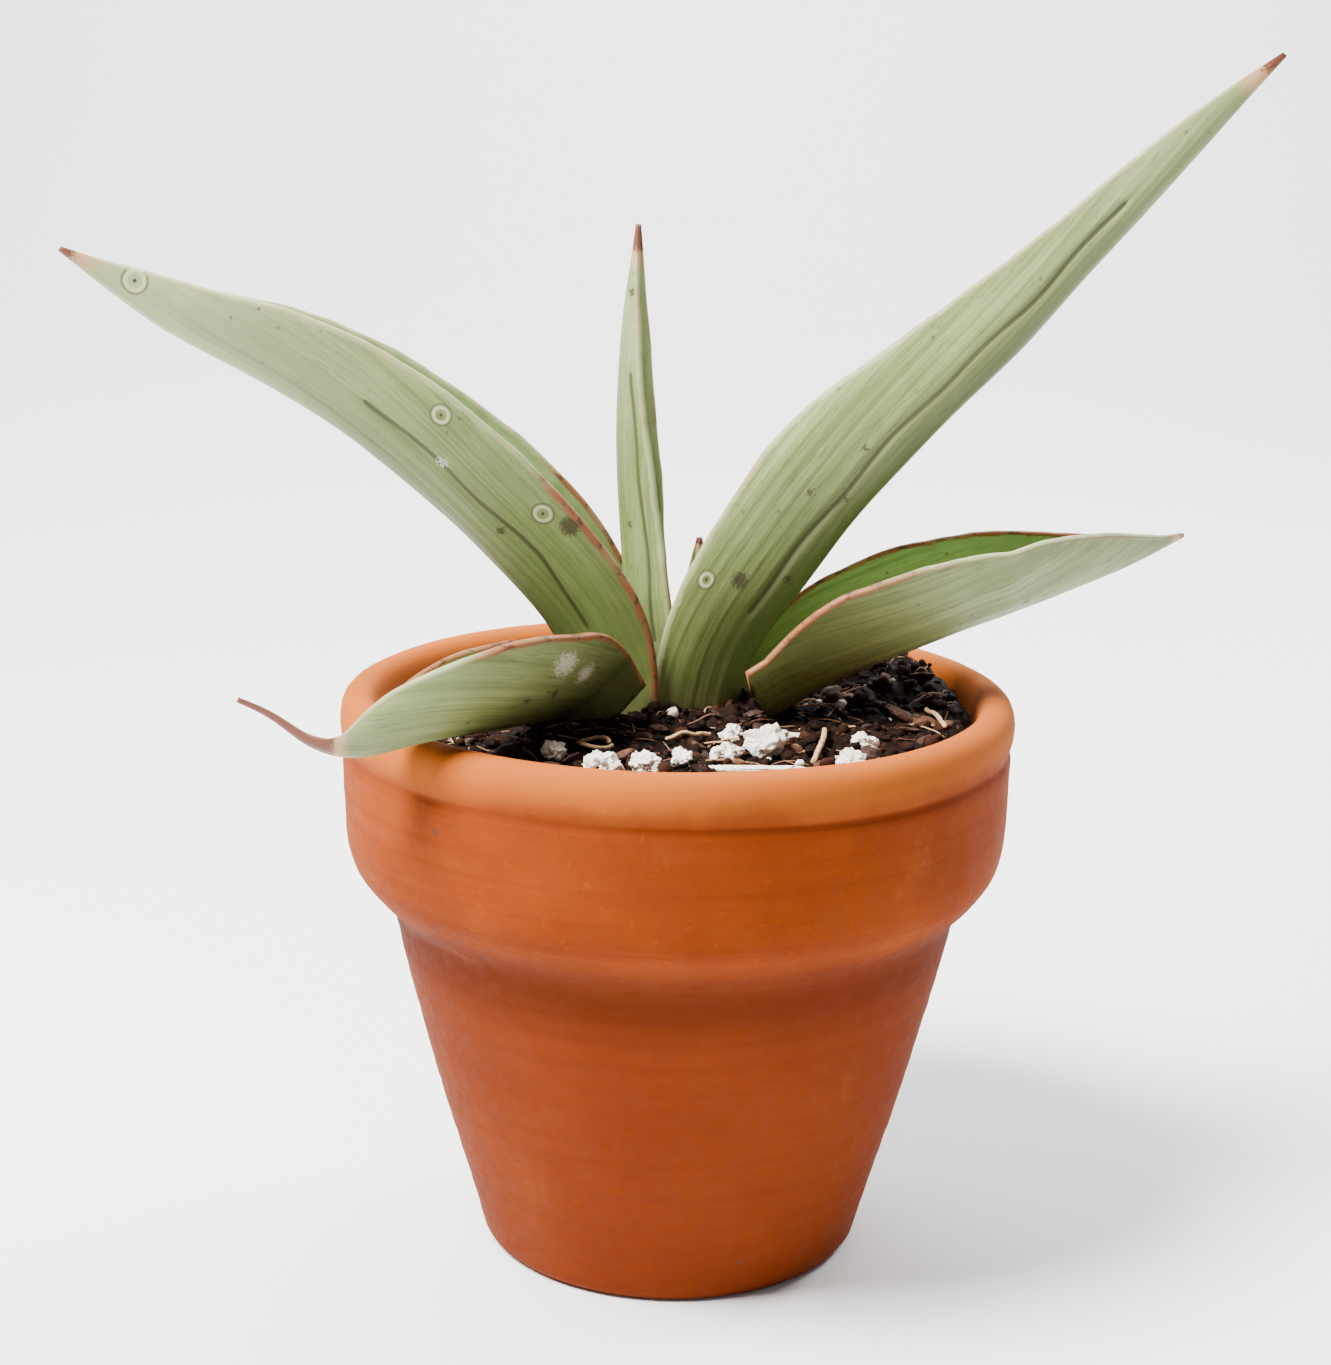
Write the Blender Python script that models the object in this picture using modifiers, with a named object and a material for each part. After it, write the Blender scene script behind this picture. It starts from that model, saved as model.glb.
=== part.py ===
"""Potted snake plant: six channelled leaves on a short rhizome, potting mix with perlite, turned clay pot.

Lengths are written in millimetres and turned into metres when a mesh is made.
The pot axis is +Z through the origin and the pot stands on z = 0; the tall leaves lean to -X and +X.
"""
import math

import bmesh
import bpy
import numpy as np
from mathutils import Vector, noise

MM = 0.001
FIT_GAP = 0.35
STRAW_GAP = 0.5

POT_HEIGHT = 90.0
LIP_RADIUS = 52.6
LIP_CREST_RADIUS = 49.7
INNER_LIP_RADIUS = 46.9
BAND_FOOT_Z = 67.0
BAND_FOOT_RADIUS = 51.8
CREASE_Z = 56.6
CREASE_RADIUS = 44.9
BASE_RADIUS = 29.7
BASE_ROUND = 1.6
FLOOR_TOP_Z = 6.5
FLOOR_RADIUS = 25.5
DRAIN_RADIUS = 6.5
POT_STEPS = 64

SOIL_LEVEL = 86.2
SOIL_WALL_GAP = 0.5
SOIL_SPOKES = 48
CROWN_HALF_LENGTH = 24.0
CROWN_HALF_BREADTH = 14.5
CROWN_DISH_Z = 85.1

LEAF_STATIONS = 22
LEAF_RING = 9
CHANNEL_TURN = math.radians(76.0)
MARGIN_THICKNESS = 1.1

# Each leaf: keel line on the outer side, the direction the channel opens (base, middle, tip), and at the
# given fractions of its length the half span between margins, the channel depth and the keel thickness.
# Reach is how far each half extends beyond that span, at the base and at the tip.
LEAVES = {
    "leaf_left_tall": {
        "keel": ((-16.6, 1.5, 86.4), (-18.8, 1.0, 96.0), (-25.0, -1.0, 106.0), (-38.0, -6.0, 119.6),
                 (-56.5, -12.0, 135.2), (-74.5, -18.0, 146.0), (-89.0, -22.0, 157.8)),
        "opens": ((1.0, 0.02, 0.1), (0.76, 0.12, 0.7), (0.35, 0.3, 0.9)),
        "at": (0.0, 0.14, 0.32, 0.5, 0.68, 0.84, 0.95, 1.0),
        "span": (8.0, 9.4, 10.6, 9.6, 7.0, 4.6, 2.0, 0.6),
        "depth": (13.2, 15.0, 15.8, 14.6, 11.4, 7.0, 2.6, 0.6),
        "thick": (3.0, 3.4, 3.5, 3.4, 3.0, 2.6, 1.8, 0.6),
        "reach": ((1.0, 1.0), (0.95, 1.0)),
    },
    "leaf_middle": {
        "keel": ((-7.4, 3.2, 86.6), (-8.7, 3.9, 104.0), (-9.8, 5.0, 122.0), (-9.6, 5.4, 142.0),
                 (-7.5, 5.4, 161.2)),
        "opens": ((0.97, -0.2, 0.0), (0.96, -0.3, 0.0), (0.9, -0.45, 0.0)),
        "at": (0.0, 0.2, 0.5, 0.78, 0.93, 1.0),
        "span": (3.4, 4.8, 4.5, 2.7, 1.2, 0.5),
        "depth": (6.4, 8.4, 6.8, 3.6, 1.6, 0.6),
        "thick": (2.4, 2.6, 2.4, 1.9, 1.2, 0.5),
        "reach": ((1.0, 1.0), (0.6, 1.0)),
    },
    "leaf_right_tall": {
        "keel": ((9.6, 1.5, 86.5), (11.2, 1.0, 93.0), (17.8, 0.0, 104.6), (30.0, -1.0, 121.0),
                 (51.0, -2.5, 144.2), (71.2, -3.8, 168.4), (87.0, -5.0, 187.4)),
        "opens": ((-1.0, 0.0, 0.05), (-0.8, 0.42, 0.5), (-0.7, 0.5, 0.6)),
        "at": (0.0, 0.12, 0.3, 0.5, 0.7, 0.86, 0.95, 1.0),
        "span": (5.6, 6.2, 7.2, 5.9, 4.4, 2.9, 1.6, 0.6),
        "depth": (13.0, 15.6, 16.8, 12.0, 7.6, 4.4, 2.2, 0.6),
        "thick": (3.0, 3.4, 3.6, 3.4, 2.9, 2.2, 1.5, 0.6),
        "reach": ((0.8, 1.0), (1.0, 1.0)),
    },
    "leaf_right_low": {
        "keel": ((16.5, 1.0, 86.6), (24.5, 3.0, 91.2), (36.0, 5.5, 96.0), (52.0, 10.5, 101.4),
                 (68.0, 16.0, 105.8), (82.0, 21.5, 111.2)),
        "opens": ((-0.75, -0.2, 0.65), (-0.18, -0.34, 0.93), (-0.2, -0.05, 0.97)),
        "at": (0.0, 0.16, 0.34, 0.56, 0.78, 0.92, 1.0),
        "span": (9.0, 11.0, 11.0, 8.4, 5.4, 2.4, 0.7),
        "depth": (9.5, 14.4, 15.0, 12.2, 7.0, 2.4, 0.7),
        "thick": (2.8, 3.2, 3.2, 3.0, 2.4, 1.5, 0.7),
        "reach": ((0.80, 0.84), (1.26, 1.32)),
    },
    "leaf_left_low": {
        "keel": ((-21.5, -9.5, 87.6), (-24.0, -21.5, 89.6), (-30.0, -33.8, 91.3), (-38.0, -40.6, 90.9),
                 (-46.5, -42.0, 89.4), (-52.5, -41.5, 91.2), (-57.0, -41.0, 94.4), (-62.0, -41.0, 97.0)),
        "opens": ((0.55, 0.35, 0.75), (0.2, 0.3, 0.93), (0.1, 0.2, 0.97)),
        "at": (0.0, 0.2, 0.4, 0.58, 0.7, 0.76, 0.82, 1.0),
        "span": (5.6, 6.4, 6.2, 4.6, 3.0, 1.8, 1.0, 0.6),
        "depth": (12.0, 13.6, 11.4, 7.0, 3.4, 1.8, 1.0, 0.6),
        "thick": (3.0, 3.4, 3.2, 2.8, 2.2, 1.8, 1.0, 0.6),
        "reach": ((1.3, 1.25), (0.7, 1.1)),
    },
    "leaf_back_small": {
        "keel": ((6.6, 13.2, 86.6), (5.4, 14.0, 98.0), (3.6, 13.6, 111.5)),
        "opens": ((-1.0, -0.2, 0.1), (-0.9, -0.4, 0.1), (-0.9, -0.4, 0.1)),
        "at": (0.0, 0.45, 0.85, 1.0),
        "span": (2.2, 2.8, 1.5, 0.6),
        "depth": (3.6, 4.2, 2.0, 0.7),
        "thick": (1.6, 1.8, 1.2, 0.6),
        "reach": ((1.0, 1.0), (1.0, 1.0)),
    },
}

# Grains of perlite and pumice: place on the mix, mean radius and flattening.
GRAINS = {
    "grain_left": (-17.8, -30.4, 1.7, 0.8),
    "grain_front_a": (-10.6, -38.4, 2.7, 0.75),
    "grain_front_b": (-4.6, -36.4, 2.3, 0.8),
    "grain_front_c": (0.6, -32.0, 1.6, 0.85),
    "grain_centre": (7.0, -28.2, 1.9, 0.8),
    "grain_inner": (8.2, -16.8, 1.6, 0.8),
    "grain_pumice": (13.0, -25.2, 3.1, 0.8),
    "grain_right_a": (27.6, -24.2, 2.2, 0.8),
    "grain_right_b": (25.0, -34.0, 2.3, 0.75),
    "grain_back_a": (-24.0, 26.0, 2.6, 0.8),
    "grain_back_b": (10.0, 33.0, 2.4, 0.8),
    "grain_back_c": (-4.0, 29.0, 1.8, 0.8),
}

# Flakes lying on the mix: place, length, breadth, height and turn in degrees.
FLAKES = {
    "flake_pale": (10.4, -36.2, 15.0, 1.9, 0.9, 3.0),
    "flake_small": (17.4, -17.2, 3.4, 1.2, 0.8, -12.0),
    "bark_left": (-31.0, 27.0, 7.5, 4.6, 1.6, 35.0),
    "bark_heap": (34.5, 27.0, 8.0, 5.0, 1.7, -40.0),
}

# Straws: both ends on the mix, how far the middle lifts, and the straw radius.
STRAWS = {
    "straw_front": ((22.2, -16.0), (19.6, -32.6), 0.5, 0.45),
    "straw_right": ((38.6, -4.6), (40.6, -13.4), 0.3, 0.4),
    "straw_crown": ((4.9, -16.0), (-1.6, -21.5), 0.4, 0.35),
    "straw_back": ((20.0, 24.5), (27.0, 31.0), 0.4, 0.4),
}
CURL_PLACE = (-12.2, -26.4)
CURL_RADIUS = 2.2
CURL_FIBRE = 0.38


def new_collection(name, hidden):
    """A fresh collection linked to the scene."""
    made = bpy.data.collections.new(name)
    bpy.context.scene.collection.children.link(made)
    made.hide_render = hidden
    return made


def material(name, colour, roughness):
    """One plain Principled material."""
    made = bpy.data.materials.new(name)
    made.use_nodes = True
    shader = made.node_tree.nodes["Principled BSDF"]
    shader.inputs["Base Color"].default_value = (*colour, 1.0)
    shader.inputs["Roughness"].default_value = roughness
    shader.inputs["Metallic"].default_value = 0.0
    return made


def mesh_object(name, bm, home, finish, smooth=True):
    """Turns a bmesh in millimetres into a named object in metres, faces outward."""
    bmesh.ops.scale(bm, vec=(MM, MM, MM), verts=bm.verts)
    bmesh.ops.recalc_face_normals(bm, faces=bm.faces)
    mesh = bpy.data.meshes.new(name)
    bm.to_mesh(mesh)
    bm.free()
    mesh.shade_smooth() if smooth else mesh.shade_flat()
    made = bpy.data.objects.new(name, mesh)
    home.objects.link(made)
    made.data.materials.append(finish)
    return made


def loft(rings, close_ends=True):
    """Skins a list of equal rings of points, each ring a closed loop."""
    bm = bmesh.new()
    rows = [[bm.verts.new(point) for point in ring] for ring in rings]
    count = len(rows[0])
    for near, far in zip(rows, rows[1:]):
        for i in range(count):
            j = (i + 1) % count
            bm.faces.new((near[i], near[j], far[j], far[i]))
    if close_ends:
        for row in (rows[0], rows[-1]):
            middle = sum((vert.co for vert in row), Vector()) / count
            hub = bm.verts.new(middle)
            for i in range(count):
                bm.faces.new((row[i], row[(i + 1) % count], hub))
    return bm


def curve_through(points, fractions):
    """Natural cubic spline through points, spaced by chord length."""
    points = np.array(points, float)
    steps = np.linalg.norm(np.diff(points, axis=0), axis=1)
    knots = np.concatenate(([0.0], np.cumsum(steps))) / steps.sum()
    gaps = np.diff(knots)
    size = len(knots)
    system = np.eye(size)
    pull = np.zeros_like(points)
    for i in range(1, size - 1):
        system[i, i - 1] = gaps[i - 1]
        system[i, i] = 2.0 * (gaps[i - 1] + gaps[i])
        system[i, i + 1] = gaps[i]
        rise = (points[i + 1] - points[i]) / gaps[i]
        run = (points[i] - points[i - 1]) / gaps[i - 1]
        pull[i] = 6.0 * (rise - run)
    bend = np.linalg.solve(system, pull)
    cell = np.clip(np.searchsorted(knots, fractions, side="right") - 1, 0, size - 2)
    width = gaps[cell][:, None]
    left = (knots[cell + 1] - fractions)[:, None] / width
    right = (fractions - knots[cell])[:, None] / width
    line = left * points[cell] + right * points[cell + 1]
    sag = (left**3 - left) * bend[cell] + (right**3 - right) * bend[cell + 1]
    return line + sag * width**2 / 6.0


def unit(vectors):
    """Vectors scaled to length one."""
    return vectors / np.linalg.norm(vectors, axis=-1, keepdims=True)


def smooth_steps(at, values, fractions):
    """Values between stations, easing through each station."""
    out = np.interp(fractions, at, values)
    for _ in range(2):
        padded = np.concatenate(([out[0]], out, [out[-1]]))
        mean = (padded[:-2] + 2.0 * padded[1:-1] + padded[2:]) / 4.0
        out = np.concatenate(([out[0]], mean[1:-1], [out[-1]]))
    return out


def leaf_rings(leaf):
    """Rings of a channelled leaf: outer side from margin to margin, then the inner side back."""
    fractions = np.linspace(0.0, 1.0, LEAF_STATIONS)
    fractions = fractions + 0.06 * np.sin(2.0 * math.pi * fractions) / math.pi
    keel = curve_through(leaf["keel"], fractions)
    along = unit(np.gradient(keel, axis=0))
    thirds = np.linspace(0.0, 1.0, len(leaf["opens"]))
    wanted = np.array(leaf["opens"], float)
    opens = np.stack([np.interp(fractions, thirds, wanted[:, k]) for k in range(3)], axis=-1)
    opens = unit(opens - (opens * along).sum(-1, keepdims=True) * along)
    across = np.cross(along, opens)
    span = smooth_steps(leaf["at"], leaf["span"], fractions)
    depth = smooth_steps(leaf["at"], leaf["depth"], fractions)
    thick = smooth_steps(leaf["at"], leaf["thick"], fractions)
    bow = np.linspace(-CHANNEL_TURN, CHANNEL_TURN, LEAF_RING)
    spread = np.sin(bow) / math.sin(CHANNEL_TURN)
    rise = (1.0 - np.cos(bow)) / (1.0 - math.cos(CHANNEL_TURN))
    rings = []
    for i in range(LEAF_STATIONS):
        edge = min(MARGIN_THICKNESS, 0.45 * span[i])
        lip = min(thick[i], depth[i])
        reach = [start + (stop - start) * fractions[i] for start, stop in leaf["reach"]]
        half = np.where(spread < 0.0, reach[0], reach[1])
        wide = spread * half
        tall = rise * half
        outer = [(span[i] * q, depth[i] * r) for q, r in zip(wide, tall)]
        inner = [((span[i] - edge) * q, lip + (depth[i] - lip) * r) for q, r in zip(wide, tall)]
        if depth[i] <= 1.5 * thick[i]:
            inner = [(0.7 * span[i] * q, lip + 0.3 * span[i] * (1.0 - q * q)) for q in spread]
        inner[0] = (inner[0][0], inner[0][1] + 0.25 * edge)
        inner[-1] = (inner[-1][0], inner[-1][1] + 0.25 * edge)
        flat = outer + inner[::-1]
        rings.append([keel[i] + u * across[i] + v * opens[i] for u, v in flat])
    return rings


def soil_height(x, y):
    """Level of the potting mix: low behind on the left, a heap behind on the right, a dish at the crown."""
    level = SOIL_LEVEL + 0.5 * math.sin(0.16 * x + 1.0) * math.cos(0.13 * y)
    level -= 5.5 * math.exp(-((x + 33.0) ** 2 + (y - 22.0) ** 2) / 260.0)
    level += 4.6 * math.exp(-((x - 36.0) ** 2 + (y - 18.0) ** 2) / 130.0)
    level += 0.35 * noise.noise(Vector((0.21 * x, 0.21 * y, 4.0)))
    ring = math.hypot((x + 1.0) / CROWN_HALF_LENGTH, (y - 2.0) / CROWN_HALF_BREADTH)
    blend = min(1.0, max(0.0, (ring - 1.0) / 0.35))
    blend = blend * blend * (3.0 - 2.0 * blend)
    return CROWN_DISH_Z + (level - CROWN_DISH_Z) * blend


def arc(centre, radius, start, stop, count):
    """Points of an arc in the (radius, z) half-plane, angles in degrees."""
    angles = np.radians(np.linspace(start, stop, count))
    return [(centre[0] + radius * math.cos(a), centre[1] + radius * math.sin(a)) for a in angles]


def wall_inner_radius(z):
    """Radius of the inner wall at a height."""
    share = (z - FLOOR_TOP_Z) / (POT_HEIGHT - 4.0 - FLOOR_TOP_Z)
    return FLOOR_RADIUS + 2.5 + (INNER_LIP_RADIUS - 0.4 - FLOOR_RADIUS - 2.5) * share


def pot_profile():
    """Outer side from the lip down, foot, drain hole, floor, inner wall back up to the lip."""
    lip = [(LIP_CREST_RADIUS, POT_HEIGHT), (51.0, 89.7), (52.0, 88.9), (52.5, 87.6)]
    lip += [(LIP_RADIUS, 85.6), (52.35, 83.6), (52.05, 82.6), (52.3, 81.6)]
    band = [(52.15, 72.0), (BAND_FOOT_RADIUS, BAND_FOOT_Z), (51.2, 65.0), (50.2, 62.8), (48.8, 60.8)]
    band += [(46.8, 58.6), (CREASE_RADIUS, CREASE_Z), (44.3, 55.0)]
    wall = [(42.2, 44.8), (38.7, 31.0), (34.8, 17.0), (BASE_RADIUS + 1.0, 3.4)]
    foot = arc((BASE_RADIUS - BASE_ROUND, BASE_ROUND), BASE_ROUND, 10.0, -90.0, 5)
    drain = [(DRAIN_RADIUS + 0.8, 0.0), (DRAIN_RADIUS, 0.8), (DRAIN_RADIUS, FLOOR_TOP_Z - 0.8)]
    floor = [(DRAIN_RADIUS + 0.8, FLOOR_TOP_Z), (FLOOR_RADIUS, FLOOR_TOP_Z)]
    floor += [(FLOOR_RADIUS + 1.8, FLOOR_TOP_Z + 0.7), (FLOOR_RADIUS + 2.7, FLOOR_TOP_Z + 2.4)]
    inner = [(wall_inner_radius(z), z) for z in (30.0, 58.0, 84.0)]
    inner += [(INNER_LIP_RADIUS - 0.2, 87.0), (INNER_LIP_RADIUS + 0.5, 88.9), (48.2, 89.8)]
    return lip + band + wall + foot + drain + floor + inner


def build_pot(home, finish):
    """Turned pot: a closed profile carried round the axis by a Screw modifier."""
    profile = pot_profile()
    mesh = bpy.data.meshes.new("pot")
    verts = [(r * MM, 0.0, z * MM) for r, z in profile]
    edges = [(i, (i + 1) % len(verts)) for i in range(len(verts))]
    mesh.from_pydata(verts, edges, [])
    made = bpy.data.objects.new("pot", mesh)
    home.objects.link(made)
    turn = made.modifiers.new("turn", "SCREW")
    turn.axis = "Z"
    turn.angle = 2.0 * math.pi
    turn.steps = POT_STEPS
    turn.render_steps = POT_STEPS
    turn.use_merge_vertices = True
    turn.merge_threshold = 0.00005
    turn.use_smooth_shade = True
    turn.use_normal_calculate = True
    mesh.materials.append(finish)
    return made


def build_soil(home, finish):
    """Potting mix filling the pot: side rings follow the inner wall, top rings follow the level."""
    angles = np.linspace(0.0, 2.0 * math.pi, SOIL_SPOKES, endpoint=False)
    floor = FLOOR_TOP_Z + FIT_GAP
    rings = []
    for radius, z in ((8.0, floor), (FLOOR_RADIUS - 1.0, floor), (wall_inner_radius(14.0) - 1.2, 14.0)):
        rings.append([(radius * math.cos(a), radius * math.sin(a), z) for a in angles])
    for z in (34.0, 56.0, 74.0):
        radius = wall_inner_radius(z) - SOIL_WALL_GAP - 0.25
        rings.append([(radius * math.cos(a), radius * math.sin(a), z) for a in angles])
    edge = wall_inner_radius(80.0) - SOIL_WALL_GAP
    for share in (1.0, 0.93, 0.84, 0.74, 0.64, 0.54, 0.44, 0.34, 0.24, 0.12):
        ring = []
        for a in angles:
            x = edge * share * math.cos(a)
            y = edge * share * math.sin(a)
            ring.append((x, y, soil_height(x, y) - (1.2 if share == 1.0 else 0.0)))
        rings.append(ring)
    return mesh_object("soil", loft(rings), home, finish)


def rhizome_shape(extra):
    """Lumpy short stem lying along X, its top just clear of the mix; extra grows it for the pocket."""
    rings = []
    count = 14
    for i in range(11):
        share = i / 10.0
        x = -20.5 + 38.0 * share
        body = math.sin(math.pi * min(0.96, max(0.04, share))) ** 0.45
        swell = 1.0 + 0.09 * math.sin(9.0 * share)
        reach = extra * (2.0 * share - 1.0)
        half = 5.4 * body * swell + extra
        ring = []
        for k in range(count):
            a = 2.0 * math.pi * k / count
            ring.append((x + reach, 1.5 + 1.35 * half * math.cos(a), 81.0 + 0.85 * half * math.sin(a)))
        rings.append(ring)
    return loft(rings)


def carve(target, cutter):
    """Takes the cutter's volume out of the target."""
    cut = target.modifiers.new("pocket", "BOOLEAN")
    cut.operation = "DIFFERENCE"
    cut.solver = "EXACT"
    cut.object = cutter


def grain(name, place, home, finish, seed):
    """One rough grain resting just above the mix."""
    x, y, radius, flat = place
    bm = bmesh.new()
    bmesh.ops.create_icosphere(bm, subdivisions=2 if radius > 4.0 else 1, radius=radius)
    for vert in bm.verts:
        bump = noise.noise(vert.co * (0.5 / radius * 3.0) + Vector((seed, 0.0, 0.0)))
        vert.co *= 1.0 + 0.22 * bump
        vert.co.z *= flat
    low = min(vert.co.z for vert in bm.verts)
    level = max(soil_height(x + vert.co.x, y + vert.co.y) for vert in bm.verts)
    bmesh.ops.translate(bm, verts=bm.verts, vec=(x, y, level - low + FIT_GAP))
    return mesh_object(name, bm, home, finish)


def strand(name, points, radius, home, finish, closed=False):
    """A round straw or fibre laid over the mix: a bevelled curve turned into a closed mesh."""
    data = bpy.data.curves.new(name, "CURVE")
    data.dimensions = "3D"
    data.bevel_depth = radius * MM
    data.bevel_resolution = 1
    data.use_fill_caps = True
    line = data.splines.new("POLY")
    line.points.add(len(points) - 1)
    line.use_cyclic_u = closed
    for spot, (x, y, lift) in zip(line.points, points):
        z = soil_height(x, y) + radius + STRAW_GAP + lift
        spot.co = (x * MM, y * MM, z * MM, 1.0)
    shape = bpy.data.objects.new(name + "_line", data)
    home.objects.link(shape)
    mesh = bpy.data.meshes.new_from_object(shape.evaluated_get(bpy.context.evaluated_depsgraph_get()))
    bpy.data.objects.remove(shape)
    bm = bmesh.new()
    bm.from_mesh(mesh)
    bmesh.ops.remove_doubles(bm, verts=bm.verts, dist=0.02 * MM)
    bmesh.ops.scale(bm, vec=(1.0 / MM, 1.0 / MM, 1.0 / MM), verts=bm.verts)
    return mesh_object(name, bm, home, finish)


def flake(name, place, home, finish):
    """A flat flake with worn corners lying on the mix."""
    x, y, long, wide, high, degrees = place
    turn = math.radians(degrees)
    bm = bmesh.new()
    bmesh.ops.create_cube(bm, size=1.0)
    bmesh.ops.scale(bm, vec=(long, wide, high), verts=bm.verts)
    bmesh.ops.bevel(bm, geom=bm.edges[:], offset=0.3 * high, segments=1, affect="EDGES")
    for vert in bm.verts:
        spot = vert.co.copy()
        vert.co.x = spot.x * math.cos(turn) - spot.y * math.sin(turn)
        vert.co.y = spot.x * math.sin(turn) + spot.y * math.cos(turn)
    level = max(soil_height(x + vert.co.x, y + vert.co.y) for vert in bm.verts)
    bmesh.ops.translate(bm, verts=bm.verts, vec=(x, y, level + 0.5 * high + FIT_GAP))
    return mesh_object(name, bm, home, finish, smooth=False)


for old in list(bpy.data.objects):
    bpy.data.objects.remove(old)

plant = new_collection("potted_snake_plant", False)
cutters = new_collection("cutters", True)

clay = material("terracotta", (0.56, 0.24, 0.13), 0.85)
mix = material("potting_mix", (0.11, 0.07, 0.045), 0.95)
stem = material("rhizome_skin", (0.42, 0.30, 0.17), 0.8)
blade = material("leaf_green", (0.27, 0.36, 0.25), 0.5)
perlite = material("perlite_white", (0.78, 0.75, 0.68), 0.9)
straw = material("dry_straw", (0.58, 0.42, 0.24), 0.85)
bark = material("bark_brown", (0.22, 0.13, 0.08), 0.9)

build_pot(plant, clay)
ground = build_soil(plant, mix)
mesh_object("rhizome", rhizome_shape(0.0), plant, stem)
pocket = mesh_object("rhizome_pocket", rhizome_shape(FIT_GAP), cutters, stem)
pocket.display_type = "WIRE"
carve(ground, pocket)

for leaf_name, leaf in LEAVES.items():
    mesh_object(leaf_name, loft(leaf_rings(leaf)), plant, blade)

for number, (grain_name, place) in enumerate(GRAINS.items()):
    grain(grain_name, place, plant, perlite, 7.0 * number)

for flake_name, place in FLAKES.items():
    flake(flake_name, place, plant, bark if flake_name.startswith("bark") else perlite)

for straw_name, (start, stop, lift, radius) in STRAWS.items():
    middle = ((start[0] + stop[0]) / 2.0 + 0.6, (start[1] + stop[1]) / 2.0, lift)
    strand(straw_name, ((*start, 0.0), middle, (*stop, 0.0)), radius, plant, straw)

turns = np.linspace(0.0, 2.0 * math.pi, 14, endpoint=False)
curl = [(CURL_PLACE[0] + CURL_RADIUS * math.cos(a), CURL_PLACE[1] + CURL_RADIUS * math.sin(a), 0.5)
        for a in turns]
strand("fibre_curl", curl, CURL_FIBRE, plant, straw, closed=True)
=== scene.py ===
"""Potted snake plant: detailed leaves, potting mix and clay pot around the CAD frame.

Lengths are in millimetres and turned into metres when a mesh is made.
"""
import math
import random

import bpy
import numpy as np
from mathutils import Matrix, Vector, noise


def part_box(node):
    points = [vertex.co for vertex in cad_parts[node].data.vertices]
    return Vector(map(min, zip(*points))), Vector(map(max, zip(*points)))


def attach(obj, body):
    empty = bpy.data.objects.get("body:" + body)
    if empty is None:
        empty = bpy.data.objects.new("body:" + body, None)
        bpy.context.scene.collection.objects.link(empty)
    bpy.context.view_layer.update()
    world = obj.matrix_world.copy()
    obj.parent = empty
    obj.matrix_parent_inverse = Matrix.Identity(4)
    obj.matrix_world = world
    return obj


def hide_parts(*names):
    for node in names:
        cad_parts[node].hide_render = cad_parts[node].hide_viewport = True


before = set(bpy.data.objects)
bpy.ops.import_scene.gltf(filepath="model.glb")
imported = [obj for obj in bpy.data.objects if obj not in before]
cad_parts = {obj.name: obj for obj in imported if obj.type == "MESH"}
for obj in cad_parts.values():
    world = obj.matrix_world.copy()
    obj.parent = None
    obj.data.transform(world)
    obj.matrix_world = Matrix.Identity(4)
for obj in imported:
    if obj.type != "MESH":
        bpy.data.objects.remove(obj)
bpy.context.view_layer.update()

MM = 0.001

# ---------------------------------------------------------------- camera, light and floor
CAMERA_PLACE = (-1.9, -380.3, 184.4)
CAMERA_PITCH = 13.83
CAMERA_ROLL = -0.94
CAMERA_LENS = 65.93
SKY_STRENGTH = 0.26
KEY_POWER = 34.0
RIM_POWER = 6.0
BACKDROP_POWER = 90.0
FLOOR_HALF = 6.0
SWEEP_START = 1.2
SWEEP_RADIUS = 0.8
SWEEP_STEPS = 24
SWEEP_TOP = 4.0


def look():
    """Camera in front of the plant, a little above the lip and tipped down."""
    pitch = math.radians(CAMERA_PITCH)
    roll = math.radians(CAMERA_ROLL)
    forward = Vector((0.0, math.cos(pitch), -math.sin(pitch)))
    right = Vector((1.0, 0.0, 0.0))
    down = forward.cross(right)
    side = math.cos(roll) * right + math.sin(roll) * down
    lower = -math.sin(roll) * right + math.cos(roll) * down
    turn = Matrix((side, -lower, -forward)).transposed().to_4x4()
    data = bpy.data.cameras.new("camera")
    data.sensor_width = 36.0
    data.lens = CAMERA_LENS
    data.clip_start = 0.01
    made = bpy.data.objects.new("camera", data)
    made.matrix_world = Matrix.Translation(Vector(CAMERA_PLACE) * MM) @ turn
    bpy.context.scene.collection.objects.link(made)
    bpy.context.scene.camera = made


def soft_light(name, place, aim, size, power, colour):
    """One large area light aimed at a point."""
    data = bpy.data.lights.new(name, "AREA")
    data.shape = "DISK"
    data.size = size
    data.energy = power
    data.color = colour
    made = bpy.data.objects.new(name, data)
    made.location = place
    made.rotation_euler = (Vector(aim) - Vector(place)).to_track_quat("-Z", "Y").to_euler()
    bpy.context.scene.collection.objects.link(made)


def studio():
    """White surroundings, a strong soft key from the upper left, a weak rim and a light on the backdrop."""
    world = bpy.data.worlds.new("studio")
    world.use_nodes = True
    sky = world.node_tree.nodes["Background"]
    sky.inputs["Color"].default_value = (1.0, 1.0, 1.0, 1.0)
    sky.inputs["Strength"].default_value = SKY_STRENGTH
    bpy.context.scene.world = world
    soft_light("key_light", (-0.36, -0.20, 0.74), (0.0, 0.0, 0.09), 0.34, KEY_POWER, (1.0, 0.985, 0.95))
    soft_light("rim_light", (0.50, 0.42, 0.50), (0.0, 0.0, 0.1), 0.25, RIM_POWER, (1.0, 0.99, 0.97))
    soft_light("backdrop_light", (0.0, 0.9, 1.5), (0.0, 2.2, 0.3), 1.6, BACKDROP_POWER, (1.0, 1.0, 1.0))


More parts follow.
